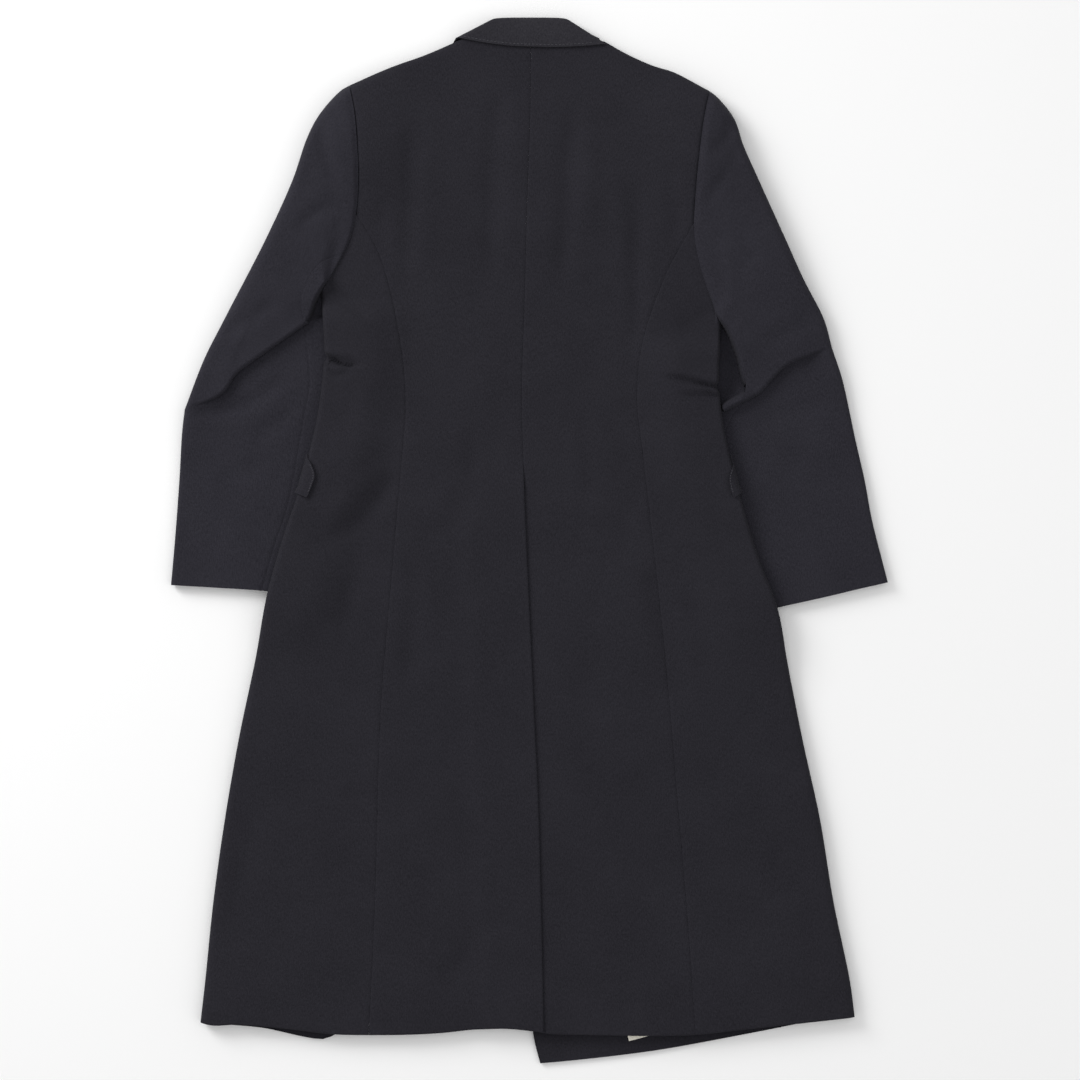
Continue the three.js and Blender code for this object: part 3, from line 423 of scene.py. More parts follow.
def at_shoulder(half, p, level, upper):
    """The shoulder is a fold of the laid coat, so both layers round off to it."""
    curve = half["shoulder"]
    d, share = distance_to(curve[0], p[..., 0], p[..., 1])
    near = along(curve, share)
    radius = fold_radius(near[..., 0], near[..., 1])
    mid = mid_fold(near[..., 0], near[..., 1])
    outward = np.broadcast_to(np.array([half["side"] * SHOULDER_OUT[0], SHOULDER_OUT[1]]), p.shape)
    z, inward = turned(upper, d, radius, level, mid, outward)
    gap = 0.02
    return (np.maximum(z, mid + gap) if upper else np.minimum(z, mid - gap)), inward


def spaced(length, first, last, pitch):
    """Distances across a row: the given near spots at each end, even steps of about pitch between."""
    count = max(2, int(round((length - first[-1] - last[-1]) / pitch)))
    middle = np.linspace(first[-1], length - last[-1], count + 1)
    return np.concatenate([first[:-1], middle, length - np.array(last[:-1])[::-1]])


SEAM_SPOTS = [0, 0.8, 1.8, 3.2, 5.5]   # columns beside a sewn edge, in mm from it
ROUND_SPOTS = np.array([0, 0.05, 0.14, 0.28, 0.48, 0.72, 1])   # and round a fold, as shares of its radius
PITCH = 5.0                    # between the rows elsewhere


def seam_dip(distance, depth=1.0, width=1.5):
    """A pressed seam: the cloth turns down into it."""
    return depth * np.exp(-(distance / width) ** 2)


def pucker(x, y, distance, seed, reach=13.0, height=0.35):
    return height * ripple(x * 0.6, y, 9, seed) * np.exp(-(distance / reach) ** 2)


def alone(piece):
    """Select one object and make it the active one."""
    for other in bpy.context.selected_objects:
        other.select_set(False)
    piece.select_set(True)
    bpy.context.view_layer.objects.active = piece


def steps_of(outer, axis):
    """Length of cloth from the first row or column of the grid to each point."""
    lengths = np.cumsum(np.linalg.norm(np.diff(outer, axis=axis), axis=2), axis)
    return np.insert(lengths, 0, 0, axis=axis)


def cloth_sheet(name, outer, inward, thickness, material):
    """A closed wall of cloth from a grid of outer points (mm) and the way in at each."""
    rows, columns = outer.shape[:2]
    count = rows * columns
    inner = outer + inward * thickness
    points = np.concatenate([outer.reshape(-1, 3), inner.reshape(-1, 3)])
    points[:, 0] += ORIGIN[0]
    points[:, 1] += ORIGIN[1]
    index = np.arange(count).reshape(rows, columns)
    a, b, c, d = index[:-1, :-1], index[1:, :-1], index[1:, 1:], index[:-1, 1:]
    faces = [np.stack([a, b, c, d], -1).reshape(-1, 4), np.stack([a, d, c, b], -1).reshape(-1, 4) + count]
    for edge, flip in ((index[:, 0], False), (index[:, -1], True), (index[0], True), (index[-1], False)):
        near, far = (edge[1:], edge[:-1]) if flip else (edge[:-1], edge[1:])
        faces.append(np.stack([near, near + count, far + count, far], -1))
    faces = np.concatenate(faces)
    corner = points[faces]
    volume = sum(np.einsum("ij,ij->i", corner[:, 0], np.cross(corner[:, i], corner[:, i + 1])).sum()
                 for i in (1, 2))
    if volume < 0:
        faces = faces[:, ::-1]
    mesh = bpy.data.meshes.new(name)
    mesh.from_pydata((points / 1000).tolist(), [], faces.tolist())
    across, down = steps_of(outer, 1), steps_of(outer, 0)
    across -= across[:, [columns // 2]]
    grain = np.stack([across.ravel(), down.ravel()], -1) / 1000
    grain = np.concatenate([grain, grain])
    layer = mesh.uv_layers.new(name="grain")
    loops = np.zeros(len(mesh.loops), int)
    mesh.loops.foreach_get("vertex_index", loops)
    layer.data.foreach_set("uv", grain[loops].ravel())
    mesh.materials.append(material)
    piece = bpy.data.objects.new(name, mesh)
    bpy.context.collection.objects.link(piece)
    alone(piece)
    bpy.ops.object.shade_smooth_by_angle(angle=math.radians(50))
    return piece


def worsted_twill(name, dark_code, light_code):
    """Worsted wool coating: a fine twill of mixed dark and paler fibres, pressed and matt. The yarn is
    about 0.4 mm, so the mixture is drawn as 1 to 2 mm flecks to show. Sparse pale lint lies on it."""
    material, tree, surface = new_material(name)
    uv = add_node(tree, "ShaderNodeUVMap", {"uv_map": "grain"}).outputs["UV"]
    coords = add_node(tree, "ShaderNodeTexCoord").outputs["Object"]
    fleck = add_node(tree, "ShaderNodeTexNoise", {"Scale": 620.0, "Detail": 3.0, "Roughness": 0.75},
                     {"Vector": coords})
    stretched = add_node(tree, "ShaderNodeMapping", {"Scale": (1.0, 0.35, 1.0), "Rotation": (0.0, 0.0, 0.9)},
                         {"Vector": uv})
    twill = add_node(tree, "ShaderNodeTexNoise", {"Scale": 900.0, "Detail": 2.0},
                     {"Vector": stretched.outputs[0]})
    cloud = add_node(tree, "ShaderNodeTexNoise", {"Scale": 14.0, "Detail": 6.0, "Roughness": 0.65},
                     {"Vector": coords})
    mixture = add_node(tree, "ShaderNodeMix", {"data_type": "FLOAT", 0: 0.5},
                       {2: fleck.outputs["Fac"], 3: twill.outputs["Fac"]}).outputs[0]
    mottle = add_node(tree, "ShaderNodeMix", {"data_type": "FLOAT", 0: 0.18},
                      {2: mixture, 3: cloud.outputs["Fac"]}).outputs[0]
    tone = add_node(tree, "ShaderNodeMapRange", {"From Min": 0.36, "From Max": 0.64}, {"Value": mottle})
    colour = add_node(tree, "ShaderNodeMix",
                      {"data_type": "RGBA", 6: linear(dark_code), 7: linear(light_code)},
                      {0: tone.outputs[0]})
    lint = add_node(tree, "ShaderNodeTexNoise", {"Scale": 210.0, "Detail": 1.0}, {"Vector": coords})
    specks = add_node(tree, "ShaderNodeMapRange", {"From Min": 0.87, "From Max": 0.9},
                      {"Value": lint.outputs["Fac"]})
    dusty = add_node(tree, "ShaderNodeMix", {"data_type": "RGBA", 7: linear("#6E6C72")},
                     {0: specks.outputs[0], 6: colour.outputs[2]})
    bump = add_node(tree, "ShaderNodeBump", {"Strength": 0.3, "Distance": 0.0005}, {"Height": mixture})
    tree.links.new(dusty.outputs[2], surface.inputs["Base Color"])
    tree.links.new(bump.outputs["Normal"], surface.inputs["Normal"])
    surface.inputs["Roughness"].default_value = 0.9
    surface.inputs["Specular IOR Level"].default_value = 0.08
    surface.inputs["Sheen Weight"].default_value = 0.02
    surface.inputs["Sheen Roughness"].default_value = 0.5
    return material


coating = worsted_twill("worsted_wool_twill", "#1E1D22", "#2D2C32")


def declare(piece, node):
    """A cloth piece in place of its plain solid: it is attached to the root and the solid is hidden."""
    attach(piece, "root")
    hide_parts(node)


ARM_SHARE = 0.16               # share of the way down where the armhole ends
VENT_SHARE = ARM_SHARE + (1 - ARM_SHARE) * 0.345   # and where the vent starts
HEM_SPOTS = [0, 0.7, 1.6, 3.0, 5.0]


def rows_down(length, top_spots, pitch=PITCH):
    return spaced(length, top_spots, HEM_SPOTS, pitch) / length


def edge_roll(distance, height=0.9, radius=2.2):
    """A turned-up hem or pressed edge: its outer face rounds off to the edge."""
    s = np.clip(distance / radius, 0, 1)
    return height * (1 - np.sqrt(1 - (1 - s) ** 2))


BACK_LENGTH = 1070.0
WAIST_FROM, WAIST_TO = 0.205, 0.34   # share of the way down where the waist creases need close rows
STATIONS_DOWN = rows_down(BACK_LENGTH, [0, 0.8, 2.2, 4.5, 8.0])
STATIONS_DOWN = np.concatenate([STATIONS_DOWN[STATIONS_DOWN < WAIST_FROM - 0.001],
                                np.linspace(WAIST_FROM, WAIST_TO, 64),
                                STATIONS_DOWN[STATIONS_DOWN > WAIST_TO + 0.001]])


def seamed_columns(length, count, spots=SEAM_SPOTS):
    """Distances across a panel between two seams: close together beside each seam."""
    near = np.array(spots)
    near[0] = 0.1
    middle = np.linspace(spots[-1], length - spots[-1], count + 2)[1:-1]
    return np.concatenate([near, middle, length - near[::-1]])


def grid_of(surface, down, columns):
    """Plan points, and the distance of each from both ends of its row."""
    lines = [row_of(surface, v) for v in down]
    lengths = np.array([line[1][-1] for line in lines])
    spots = np.array([columns(length) for length in lengths])
    plan = np.array([along(line, spot / length) for line, spot, length in zip(lines, spots, lengths)])
    return plan, spots, lengths[:, None] - spots


def back_panel(half):
    is_left = half["side"] < 0
    vent_edge = through(VENT_EDGE)
    neck = through(NECK_BACK[half["side"]])
    top = joined(neck, half["shoulder"], neck[1][-1] / (neck[1][-1] + half["shoulder"][1][-1]))
    hem = part_of(half["hem_back"], 0, share_near(half["hem_back"], half["princess"][0][-1]))
    outer_edge = joined(part_of(half["armhole"], 0, half["back_seam_at"]), half["princess"], ARM_SHARE)
    inner_edge = joined(through(CENTRE_BACK), vent_edge if is_left else through(VENT_UNDER), VENT_SHARE)
    down = STATIONS_DOWN
    p, from_centre, from_side = grid_of(patch(top, hem, inner_edge, outer_edge), down,
                                        lambda n: seamed_columns(n, 30))
    x, y = p[..., 0], p[..., 1]
    below_vent = down[:, None] > VENT_SHARE
    z = back_top(x, y)
    if is_left:
        edge = np.where(y > VENT_TOP, VENT_EDGE[0][0], x_at(vent_edge, y))
        across = smooth(x, edge - VENT_UNDERLAP - 34, edge - VENT_UNDERLAP - 10)
        z += (CLOTH + 2 * SEAM) * across * (1 - smooth(y, VENT_TOP - 2, VENT_TOP + 40))
        z -= np.where(below_vent, edge_roll(from_centre) + 0.35 * np.exp(-((from_centre - 7) / 2.0) ** 2), 0)
    z -= np.where(below_vent, 0, seam_dip(from_centre, 0.45) + pucker(x, y, from_centre, 3.0))
    at_princess = down[:, None] > ARM_SHARE
    z -= seam_dip(from_side, np.where(at_princess, 0.5, 1.1)) + pucker(x, y, from_side, 5.0 + half["side"])
    from_hem = (1 - down[:, None]) * BACK_LENGTH
    z -= edge_roll(from_hem) + 0.3 * np.exp(-((from_hem - 38) / 3.0) ** 2)
    z, inward = at_shoulder(half, p, z, True)
    return cloth_sheet("back_" + half["name"] + "_cloth", np.dstack([x, y, z]), inward, CLOTH, coating)


for half in HALVES:
    declare(back_panel(half), "back_" + half["name"])

# ---------------------------------------------------------------------------
# Side panels: each goes from the princess seam round the side of the laid coat to the seam in the
# front, so its fold makes the coat's outline. It lies on the sleeve from the underarm to the cuff.
FRONT_CREASES = drawn([
    (1.6, 12, [(-230, 60), (-236, -60), (-250, -180)]),
    (1.4, 14, [(-120, 300), (-112, 200), (-118, 80)]),
    (1.8, 14, [(120, 280), (108, 180), (118, 60)]),
    (1.6, 16, [(180, -40), (205, -180), (222, -320)]),
    (1.4, 15, [(-150, -120), (-172, -260), (-180, -400)]),
    (1.2, 18, [(70, -150), (84, -300), (96, -440)]),
])


def under_side(x, y):
    """Outer face of the layer that lies on the table. Its creases stand clear of the table."""
    return base(x, y) + crease_depth(FRONT_CREASES, x, y)


def fold_columns(length, radius, count, seam_gap=0.03):
    """Distances from a fold: close together round it, and again beside the seam at the far end."""
    near = ROUND_SPOTS * radius
    far = length - np.array([*SEAM_SPOTS[:0:-1], seam_gap]) * min(1.0, length / 30)
    return np.concatenate([near, np.linspace(near[-1], far[0], count + 2)[1:-1], far])


def side_layer(half, upper, down, count):
    """One layer of a side panel: plan, height, inward direction, and distances from its fold and seam."""
    layer = "back" if upper else "front"
    seam = half["princess" if upper else "front_seam"]
    hem = half["hem_" + layer]
    hem = part_of(hem, 1 if upper else 0, share_near(hem, seam[0][-1]))
    surface = patch(part_of(half["armhole"], 1, half[layer + "_seam_at"]), hem, half["fold"], seam)
    lines = [row_of(surface, v) for v in down]
    lengths = np.array([line[1][-1] for line in lines])
    edges = np.array([line[0][0] for line in lines])
    outward = edges - np.array([along(line, 0.04) for line in lines])
    outward /= np.linalg.norm(outward, axis=1, keepdims=True)
    radius = np.minimum(fold_radius(edges[:, 0], edges[:, 1]), 0.45 * lengths)
    d = np.array([fold_columns(length, r, count) for length, r in zip(lengths, radius)])
    p = np.array([along(line, spot / length) for line, spot, length in zip(lines, d, lengths)])
    pinch = 3.0 * np.exp(-((p[..., 1] - half["notch_y"]) / 4.5) ** 2) * (1 - smooth(d, 0, 25))
    p[..., 0] -= half["side"] * pinch
    level = back_top(p[..., 0], p[..., 1]) if upper else under_side(p[..., 0], p[..., 1])
    from_seam = lengths[:, None] - d
    dip = seam_dip(from_seam, 0.5) + pucker(p[..., 0], p[..., 1], from_seam, 11.0)
    level = level - dip if upper else level + np.maximum(dip, 0) * 0.6
    mid = mid_fold(edges[:, 0], edges[:, 1])[:, None]
    z, inward = turned(upper, d, radius[:, None], level, mid,
                       outward[:, None, :] * np.ones((1, d.shape[1], 1)))
    return np.dstack([p, z]), inward, d, from_seam


def wrapped(upper, lower):
    """The two layers of a piece that turns round a fold, as one grid from seam to seam."""
    return [np.concatenate([top[:, ::-1], low[:, 1:]], axis=1) for top, low in zip(upper, lower)]


def side_panel(half):
    down = (STATIONS_DOWN[STATIONS_DOWN >= ARM_SHARE] - ARM_SHARE) / (1 - ARM_SHARE)
    down = np.concatenate([[SEAM / 2, 1.5, 4.0], down[1:] * half["fold"][1][-1]]) / half["fold"][1][-1]
    (top, top_in, _, _), (low, low_in, _, _) = (side_layer(half, upper, down, 24) for upper in (True, False))
    from_hem = ((1 - down) * half["fold"][1][-1])[:, None]
    roll = edge_roll(from_hem)
    top[..., 2] -= roll * -top_in[..., 2]
    low[..., 2] += roll * low_in[..., 2]
    outer, inward = wrapped((top, top_in), (low, low_in))
    return cloth_sheet("side_" + half["name"] + "_cloth", outer, inward, CLOTH, coating)


for half in HALVES:
    declare(side_panel(half), "side_" + half["name"])

# ---------------------------------------------------------------------------
# Front panels: coating with canvas and facing, lying face down on the table. The right one laps
# over the left one and is longer at the hem, so its facing shows below the back.
FRONT_CLOTH = 2.8


def front_panel(half):
    outer_edge = joined(part_of(half["armhole"], 0, half["front_seam_at"]), half["front_seam"], ARM_SHARE)
    hem = part_of(half["hem_front"], 1, share_near(half["hem_front"], half["front_seam"][0][-1]))
    p, from_edge, from_side = grid_of(patch(half["shoulder"], hem, half["front_edge"], outer_edge),
                                      STATIONS_DOWN, lambda n: seamed_columns(n, 26))
    x, y = p[..., 0], p[..., 1]
    level = under_side(x, y)
    if half["side"] < 0:
        edge = x_at(RIGHT["front_edge"], y)
        down = 1 - smooth(y, BREAK_Y + 70, BREAK_Y + 110)
        level += (FRONT_CLOTH + 2 * SEAM) * smooth(x, edge - 30, edge - 8) * down
    from_hem = (1 - STATIONS_DOWN[:, None]) * BACK_LENGTH
    level += 0.6 * seam_dip(from_side, 1.0) + edge_roll(from_edge, 0.8) + edge_roll(from_hem, 0.8)
    z, inward = at_shoulder(half, p, level, False)
    return cloth_sheet("front_" + half["name"] + "_cloth", np.dstack([x, y, z]), inward, FRONT_CLOTH, coating)


for half in HALVES:
    declare(front_panel(half), "front_" + half["name"])

# ---------------------------------------------------------------------------
# Two-piece sleeves: a wide top sleeve turns round the outer fold and a narrow under sleeve round
# the inner one. Each sleeve is sewn in with some fullness at its head and folds over at the elbow.
# Heights of the sleeve: upper arm, top of the elbow fold, where the forearm joins it, gap at the underarm
ARM_LOFT, ELBOW_EDGE, ELBOW_JOIN, PIT_LOFT = 23.0, 19.0, 15.0, 5.0
ARM_MIDDLE = 0.62              # length down the middle of the upper arm, as a share of its outer edge
PIT_ROLL = 3.5                 # the sleeve rounds down to the gap at the underarm
SLEEVE_CREASES = drawn([
    (2.4, 7, [(-225, 443), (-217, 411), (-208, 389), (-199, 385)]),
    (-1.4, 8, [(-214, 452), (-206, 420), (-200, 398)]),
    (2.2, 8, [(-252, 330), (-228, 352), (-202, 360)]),
    (2.4, 7, [(217, 454), (212, 432), (191, 413)]),
    (2.2, 7, [(215, 400), (198, 373), (187, 355)]),
    (1.8, 8, [(250, 300), (226, 322), (196, 330)]),
    (3.4, 7, [(-372, 137), (-339, 139), (-301, 149), (-252, 182)]),
    (1.8, 9, [(-300, 108), (-270, 128), (-246, 150)]),
    (-1.8, 7, [(233, 168), (226, 152), (208, 143)]),
    (2.2, 8, [(330, 150), (296, 142), (262, 132), (236, 120)]),
    (1.6, 10, [(300, 80), (270, 96), (236, 98)]),
    (1.4, 10, [(-340, 60), (-310, 74), (-276, 82)]),
    (2.0, 9, [(-336, 216), (-300, 238), (-262, 262)]),
    (1.8, 9, [(306, 240), (276, 222), (250, 214)]),
])
ARM_DOWN = np.array([0.0006, 0.0025, 0.006, 0.011, 0.018, 0.027, *np.linspace(0.04, 0.955, 62), 0.964,
                     *np.linspace(0.9715, 1.0, 13)])
FOREARM_DOWN = np.array([0.003, 0.008, 0.018, 0.03, *np.linspace(0.05, 0.97, 36), 0.982, 0.99, 0.996, 1.0])
SLEEVE_HEAD_RISE = 2.4         # fullness of the sleeve just below the armhole seam
FAR = 999.0                    # out of reach of a fold or seam


def armhole_end(half, upper):
    """Where the body ends at the armhole on one layer: its line, and the sleeve seam's place on it."""
    layer = "back" if upper else "front"
    p = along(half["armhole"], np.linspace(0, half[layer + "_seam_at"], 61))
    level = back_top(p[:, 0], p[:, 1]) if upper else base(p[:, 0], p[:, 1])
    z, _ = at_shoulder(half, p, level, upper)
    side, _, d, from_seam = side_layer(half, upper, [SEAM / 2 / half["fold"][1][-1]], 24)
    points = np.concatenate([np.column_stack([p, z]), side[0, ::-1][1:]])
    length, radius = d[0, -1] + from_seam[0, -1], d[0, 6]
    seam_at = radius + (length - radius) * (0.5 if upper else 2 / 3)
    split = len(p) + np.argmin(np.abs(d[0, ::-1][1:] - seam_at))
    return points, split


def sleeve_layer(half, upper, inner):
    """One layer of the top or (inner) under sleeve: grid from its fold to the seam, rows to the cuff."""
    points, split = armhole_end(half, upper)
    source = points[split:] if inner else points[:split + 1]
    top = polyline(source[:, :2])
    elbow_end = half["elbow"][0][-1]
    seam_arm = through(half["seam_arm"], points[split, :2], elbow_end)
    seam_forearm = half["seam_forearm"]
    inner_forearm = half["inner_forearm"]
    elbow_inner = polyline([seam_forearm[0][0], inner_forearm[0][0]])
    at_cuff = share_near(half["cuff"], seam_forearm[0][-1])
    if inner:
        parts = [patch(top, elbow_inner, seam_arm, half["inner_arm"]),
                 patch(elbow_inner, part_of(half["cuff"], at_cuff, 1), seam_forearm, inner_forearm)]
    else:
        parts = [patch(top, half["elbow"], half["outer_arm"], seam_arm),
                 patch(half["elbow"], part_of(half["cuff"], 0, at_cuff), half["outer_forearm"], seam_forearm)]
    fold_run = half["elbow"][0][-1] - half["elbow"][0][0]
    to_elbow = half["side"] * np.array([-fold_run[1], fold_run[0], 0]) / np.hypot(*fold_run)
    roll = (ELBOW_EDGE - FOREARM_LOFT - 0.4) / 2
    roll_line = row_of(parts[0], 1 - roll / (ARM_MIDDLE * half["outer_arm"][1][-1]))
    arm_length = half["outer_arm"][1][-1]
    outer, inwards, spots = [], [], []
    for surface, down, is_arm in ((parts[0], ARM_DOWN, True), (parts[1], FOREARM_DOWN, False)):
        for v in down:
            line = row_of(surface, v)
            length = line[1][-1]
            from_elbow = (1 - v) * ARM_MIDDLE * arm_length if is_arm else FAR
            turn = math.pi * np.clip(1 - from_elbow / roll, 0, 1)
            before = v * half["outer_forearm"][1][-1]
            running = (ELBOW_JOIN + (ARM_LOFT - ELBOW_JOIN) * smooth(from_elbow, 0, 90) if is_arm else
                       FOREARM_LOFT + (ELBOW_JOIN - FOREARM_LOFT) * (1 - smooth(before, 0, 70)))
            folded = FOREARM_LOFT
            if is_arm:
                folded += 0.4 + roll * (1 + math.cos(turn))
                folded += (ARM_LOFT - ELBOW_EDGE) * smooth(from_elbow, 8, 90)
            pit = (PIT_LOFT + (FOREARM_LOFT - PIT_LOFT) * (1 - smooth(from_elbow, 0, 34)) if is_arm else
                   FOREARM_LOFT)
            edge_height = pit if inner else running
            radius = min(0.5 * edge_height, 0.45 * length)
            d = fold_columns(length, radius, 34 if inner else 26)
            share = 1 - d / length if inner else d / length
            blend = 1 - smooth(v, 0, 0.3) if is_arm else 0.0
            at = along(line, share) * (1 - blend) + surface(share, v) * blend
            edges = along(line, np.array([1.0, 0.9] if inner else [0.0, 0.1]))
            outward = (edges[0] - edges[1]) / np.linalg.norm(edges[0] - edges[1])
            if inner:
                from_pit = half["side"] * (at[:, 0] - x_at(half["pit_edge"], at[:, 1]))
                full = (np.sqrt(1 - (1 - np.clip(from_pit / PIT_ROLL, 0, 1)) ** 2) if is_arm else
                        np.zeros(len(d)))
                full = np.maximum(full, half["elbow_ridge"] * (1 - smooth(from_elbow, 9, 15)))
                height = pit + (folded - pit) * full
                inside = half["side"] * (x_at(half["fold"], at[:, 1]) - at[:, 0])
                cover = np.where(at[:, 1] < half["fold"][0][0, 1] - 4, smooth(inside, -3.5, 0), 0)
                below_coat = np.maximum(base(at[:, 0], at[:, 1]) - 0.4, 4.2)
                height = np.minimum(height, 40 * (1 - cover) + below_coat)
                fold_here = np.ones(len(d))
            else:
                fold_here = smooth(share, 0.03, 0.3)
                height = folded * fold_here + running * (1 - fold_here)
            level = height if upper else np.zeros(len(d))
            z, inward = turned(upper, d, radius, level, edge_height / 2, np.tile(outward, (len(d), 1)))
            if upper and turn > 0:
                here = (fold_here * smooth(height, FOREARM_LOFT, FOREARM_LOFT + 4))[:, None]
                behind = along(roll_line, share) + to_elbow[:2] * roll * math.sin(turn)
                at = at * (1 - here) + behind * here
                rolled = np.array([*(-to_elbow[:2] * math.sin(turn)), -math.cos(turn)])
                inward = inward * (1 - here) + rolled * here
            at_top = np.interp(share * top[1][-1], top[1], source[:, 2])
            z = z * (1 - blend) + at_top * blend
            from_head = v * arm_length if is_arm else FAR
            if upper:
                swell = smooth(from_head, 0, 9) * (1 - smooth(from_head, 14, 60))
                z = z + SLEEVE_HEAD_RISE * swell * smooth(d, 0, 12)
            outer.append(np.column_stack([at, z]))
            inwards.append(inward)
            spots.append(length - d)
    outer, inwards, spots = np.array(outer), np.array(inwards), np.array(spots)
    x, y = outer[..., 0], outer[..., 1]
    facing = np.clip(np.abs(inwards[..., 2]), 0, 1)
    dip = seam_dip(spots, np.where(y > half["elbow"][0][-1, 1], 0.25, 0.4)) + pucker(x, y, spots, 21.0)
    if upper:
        dip = dip + crease_depth(SLEEVE_CREASES, x, y) + 0.45 * ripple(x, y, 34, 14.0)
        outer[..., 2] -= dip * facing
    else:
        outer[..., 2] += np.maximum(0.5 * dip, 0) * facing
    return outer, inwards


def sleeve_piece(half, inner):
    outer, inward = wrapped(*(sleeve_layer(half, upper, inner) for upper in (True, False)))
    name = ("under_sleeve_" if inner else "top_sleeve_") + half["name"]
    return cloth_sheet(name + "_cloth", outer, inward, CLOTH, sleeve_twill_painted_light)


# The sleeves' cloth is the body's worsted drawn lighter: painted light, for the stronger light falling on the
# sleeves.
sleeve_twill_painted_light = worsted_twill("worsted_twill_sleeve_painted_light", "#212026", "#323138")
for half in HALVES:
    for inner in (False, True):
        node = ("under_sleeve_" if inner else "top_sleeve_") + half["name"]
        declare(sleeve_piece(half, inner), node)

# ---------------------------------------------------------------------------
# Collar: the fall turns over at the back of the neck and lies under the fronts at both sides, with
# its stand inside. The lapels are turned back on the fronts and lie on the table.
COLLAR_CLOTH, STAND_CLOTH, LAPEL_CLOTH = 2.4, 1.6, 3.2
FALL = dict(
    roll_back=[(-41.5, 560.2), (-38, 561.8), (-30, 562.8), (2, 563.2), (32, 562.8), (40, 561.8),
               (43.5, 560.2)],
    edge_back=[(-79, 541), (-50, 535.6), (-22, 532), (2, 530.8), (30, 530.4), (58, 531.6), (84.5, 534)],
    rolls=([(-41.5, 560.2), (-51, 540), (-60, 510), (-65, 487)],
           [(43.5, 560.2), (53, 540), (61, 510), (67, 487)]),
    edges=([(-79, 541), (-100, 508), (-118, 480), (-127, 466)],
           [(84.5, 534), (100, 503), (114, 480), (121, 466)]),
)
STAND = dict(
    roll_back=[(-38, 558.8), (-20, 559), (2, 559), (24, 559), (40, 558.8)],
    edge_back=[(-72, 540.6), (-64, 542), (-40, 537.4), (2, 536.2), (44, 537.4), (66, 541.4), (76, 540.6)],
    rolls=([(-38, 558.8), (-48, 540), (-57, 512), (-62, 492)],
           [(40, 558.8), (50, 540), (58, 512), (64, 492)]),
    edges=([(-72, 540.6), (-77, 530), (-70, 508), (-65, 492)],
           [(76, 540.6), (80, 530), (72, 508), (67, 492)]),
)


COLLAR_DOWN = np.array([0, 0.004, 0.012, 0.03, 0.055, 0.085, 0.12, *np.linspace(0.17, 0.93, 14), 0.96, 0.98,
                        1.0])
COLLAR_ROLL = 0.12             # share of the collar that is its round turn


def collar_sheet(name, table, cloth, material, rolled, radius, mid, heights):
    """One sheet of the collar, from the left front round the back of the neck to the right front."""
    back_roll, back_level, front_roll, front_level = heights
    roll, edge = through(table["roll_back"]), through(table["edge_back"])
    turns = [polyline([along(roll, share), along(edge, share)]) for share in (0.0, 1.0)]
    back = patch(roll, edge, *turns)
    ends = []
    for turn, roll_end, edge_end in zip(turns, table["rolls"], table["edges"]):
        roll_end, edge_end = through(roll_end), through(edge_end)
        ends.append(patch(roll_end, edge_end, turn, polyline([roll_end[0][-1], edge_end[0][-1]])))
    spots = ROUND_SPOTS * radius
    outer, inwards = [], []
    for v in COLLAR_DOWN:
        turn = math.sqrt(1 - (1 - min(1, v / COLLAR_ROLL)) ** 2) if rolled else 1.0

        def laid(upper, at, d, level, outward, away):
            z, inward = turned(upper, d, radius, level, mid, np.tile(outward, (len(d), 1)))
            inward = inward * max(turn, 0.05) + np.append(away, 0) * (1 - turn)
            return np.column_stack([at, z]), inward / np.linalg.norm(inward, axis=1, keepdims=True)

        pieces = []
        for surface in ends:
            line = row_of(surface, v)
            d = np.concatenate([spots[1:], np.linspace(radius, line[1][-1], 12)[1:]])
            first = along(line, np.array([0.0, 0.1]))
            away = surface(0.5, 1.0) - surface(0.5, 0.0)
            level = front_roll * (1 - turn) + front_level * turn
            pieces.append(laid(False, along(line, d / line[1][-1]), d, level, (first[0] - first[1]) /
                               np.linalg.norm(first[0] - first[1]), away / np.linalg.norm(away)))
        line = row_of(back, v)
        length = line[1][-1]
        share = np.concatenate([spots / length, np.linspace(radius / length, 1 - radius / length, 30)[1:-1],
                                1 - spots[::-1] / length])
        at = along(line, share)
        level = back_roll * (1 - turn) + back_level(at, v) * turn
        tips = along(line, np.array([0.0, 0.1, 0.9, 1.0]))
        outward = np.where((share < 0.5)[:, None], tips[0] - tips[1], tips[3] - tips[2])
        outward /= np.linalg.norm(outward, axis=1, keepdims=True)
        d = np.minimum(share, 1 - share) * length
        z, inward = turned(True, d, radius, level, mid, outward)
        inward = inward * max(turn, 0.05) + np.array([0, -1, 0]) * (1 - turn)
        middle = (np.column_stack([at, z]), inward / np.linalg.norm(inward, axis=1, keepdims=True))
        outer.append(np.concatenate([pieces[0][0][::-1], middle[0], pieces[1][0]]))
        inwards.append(np.concatenate([pieces[0][1][::-1], middle[1], pieces[1][1]]))
    outer, inwards = np.array(outer), np.array(inwards)
    return cloth_sheet(name, outer, inwards, cloth, material)


def thread_and_painted_edge_highlight(name):
    """Spun polyester sewing thread: two plies twisted together, with a low silky shine. Its pale ply colour is
    partly a painted highlight: along the collar's and flaps' edges it stands in for the light those edges
    catch.
    """
    material, tree, surface = new_material(name)
    coords = add_node(tree, "ShaderNodeTexCoord").outputs["Object"]
    ply = add_node(tree, "ShaderNodeTexWave", {"Scale": 900.0, "Distortion": 2.0},
                   {"Vector": coords}).outputs["Fac"]
    colour = add_node(tree, "ShaderNodeMix",
                      {"data_type": "RGBA", 6: linear("#26252B"), 7: linear("#4A4951")}, {0: ply})
    tree.links.new(colour.outputs[2], surface.inputs["Base Color"])
    surface.inputs["Roughness"].default_value = 0.55
    return material


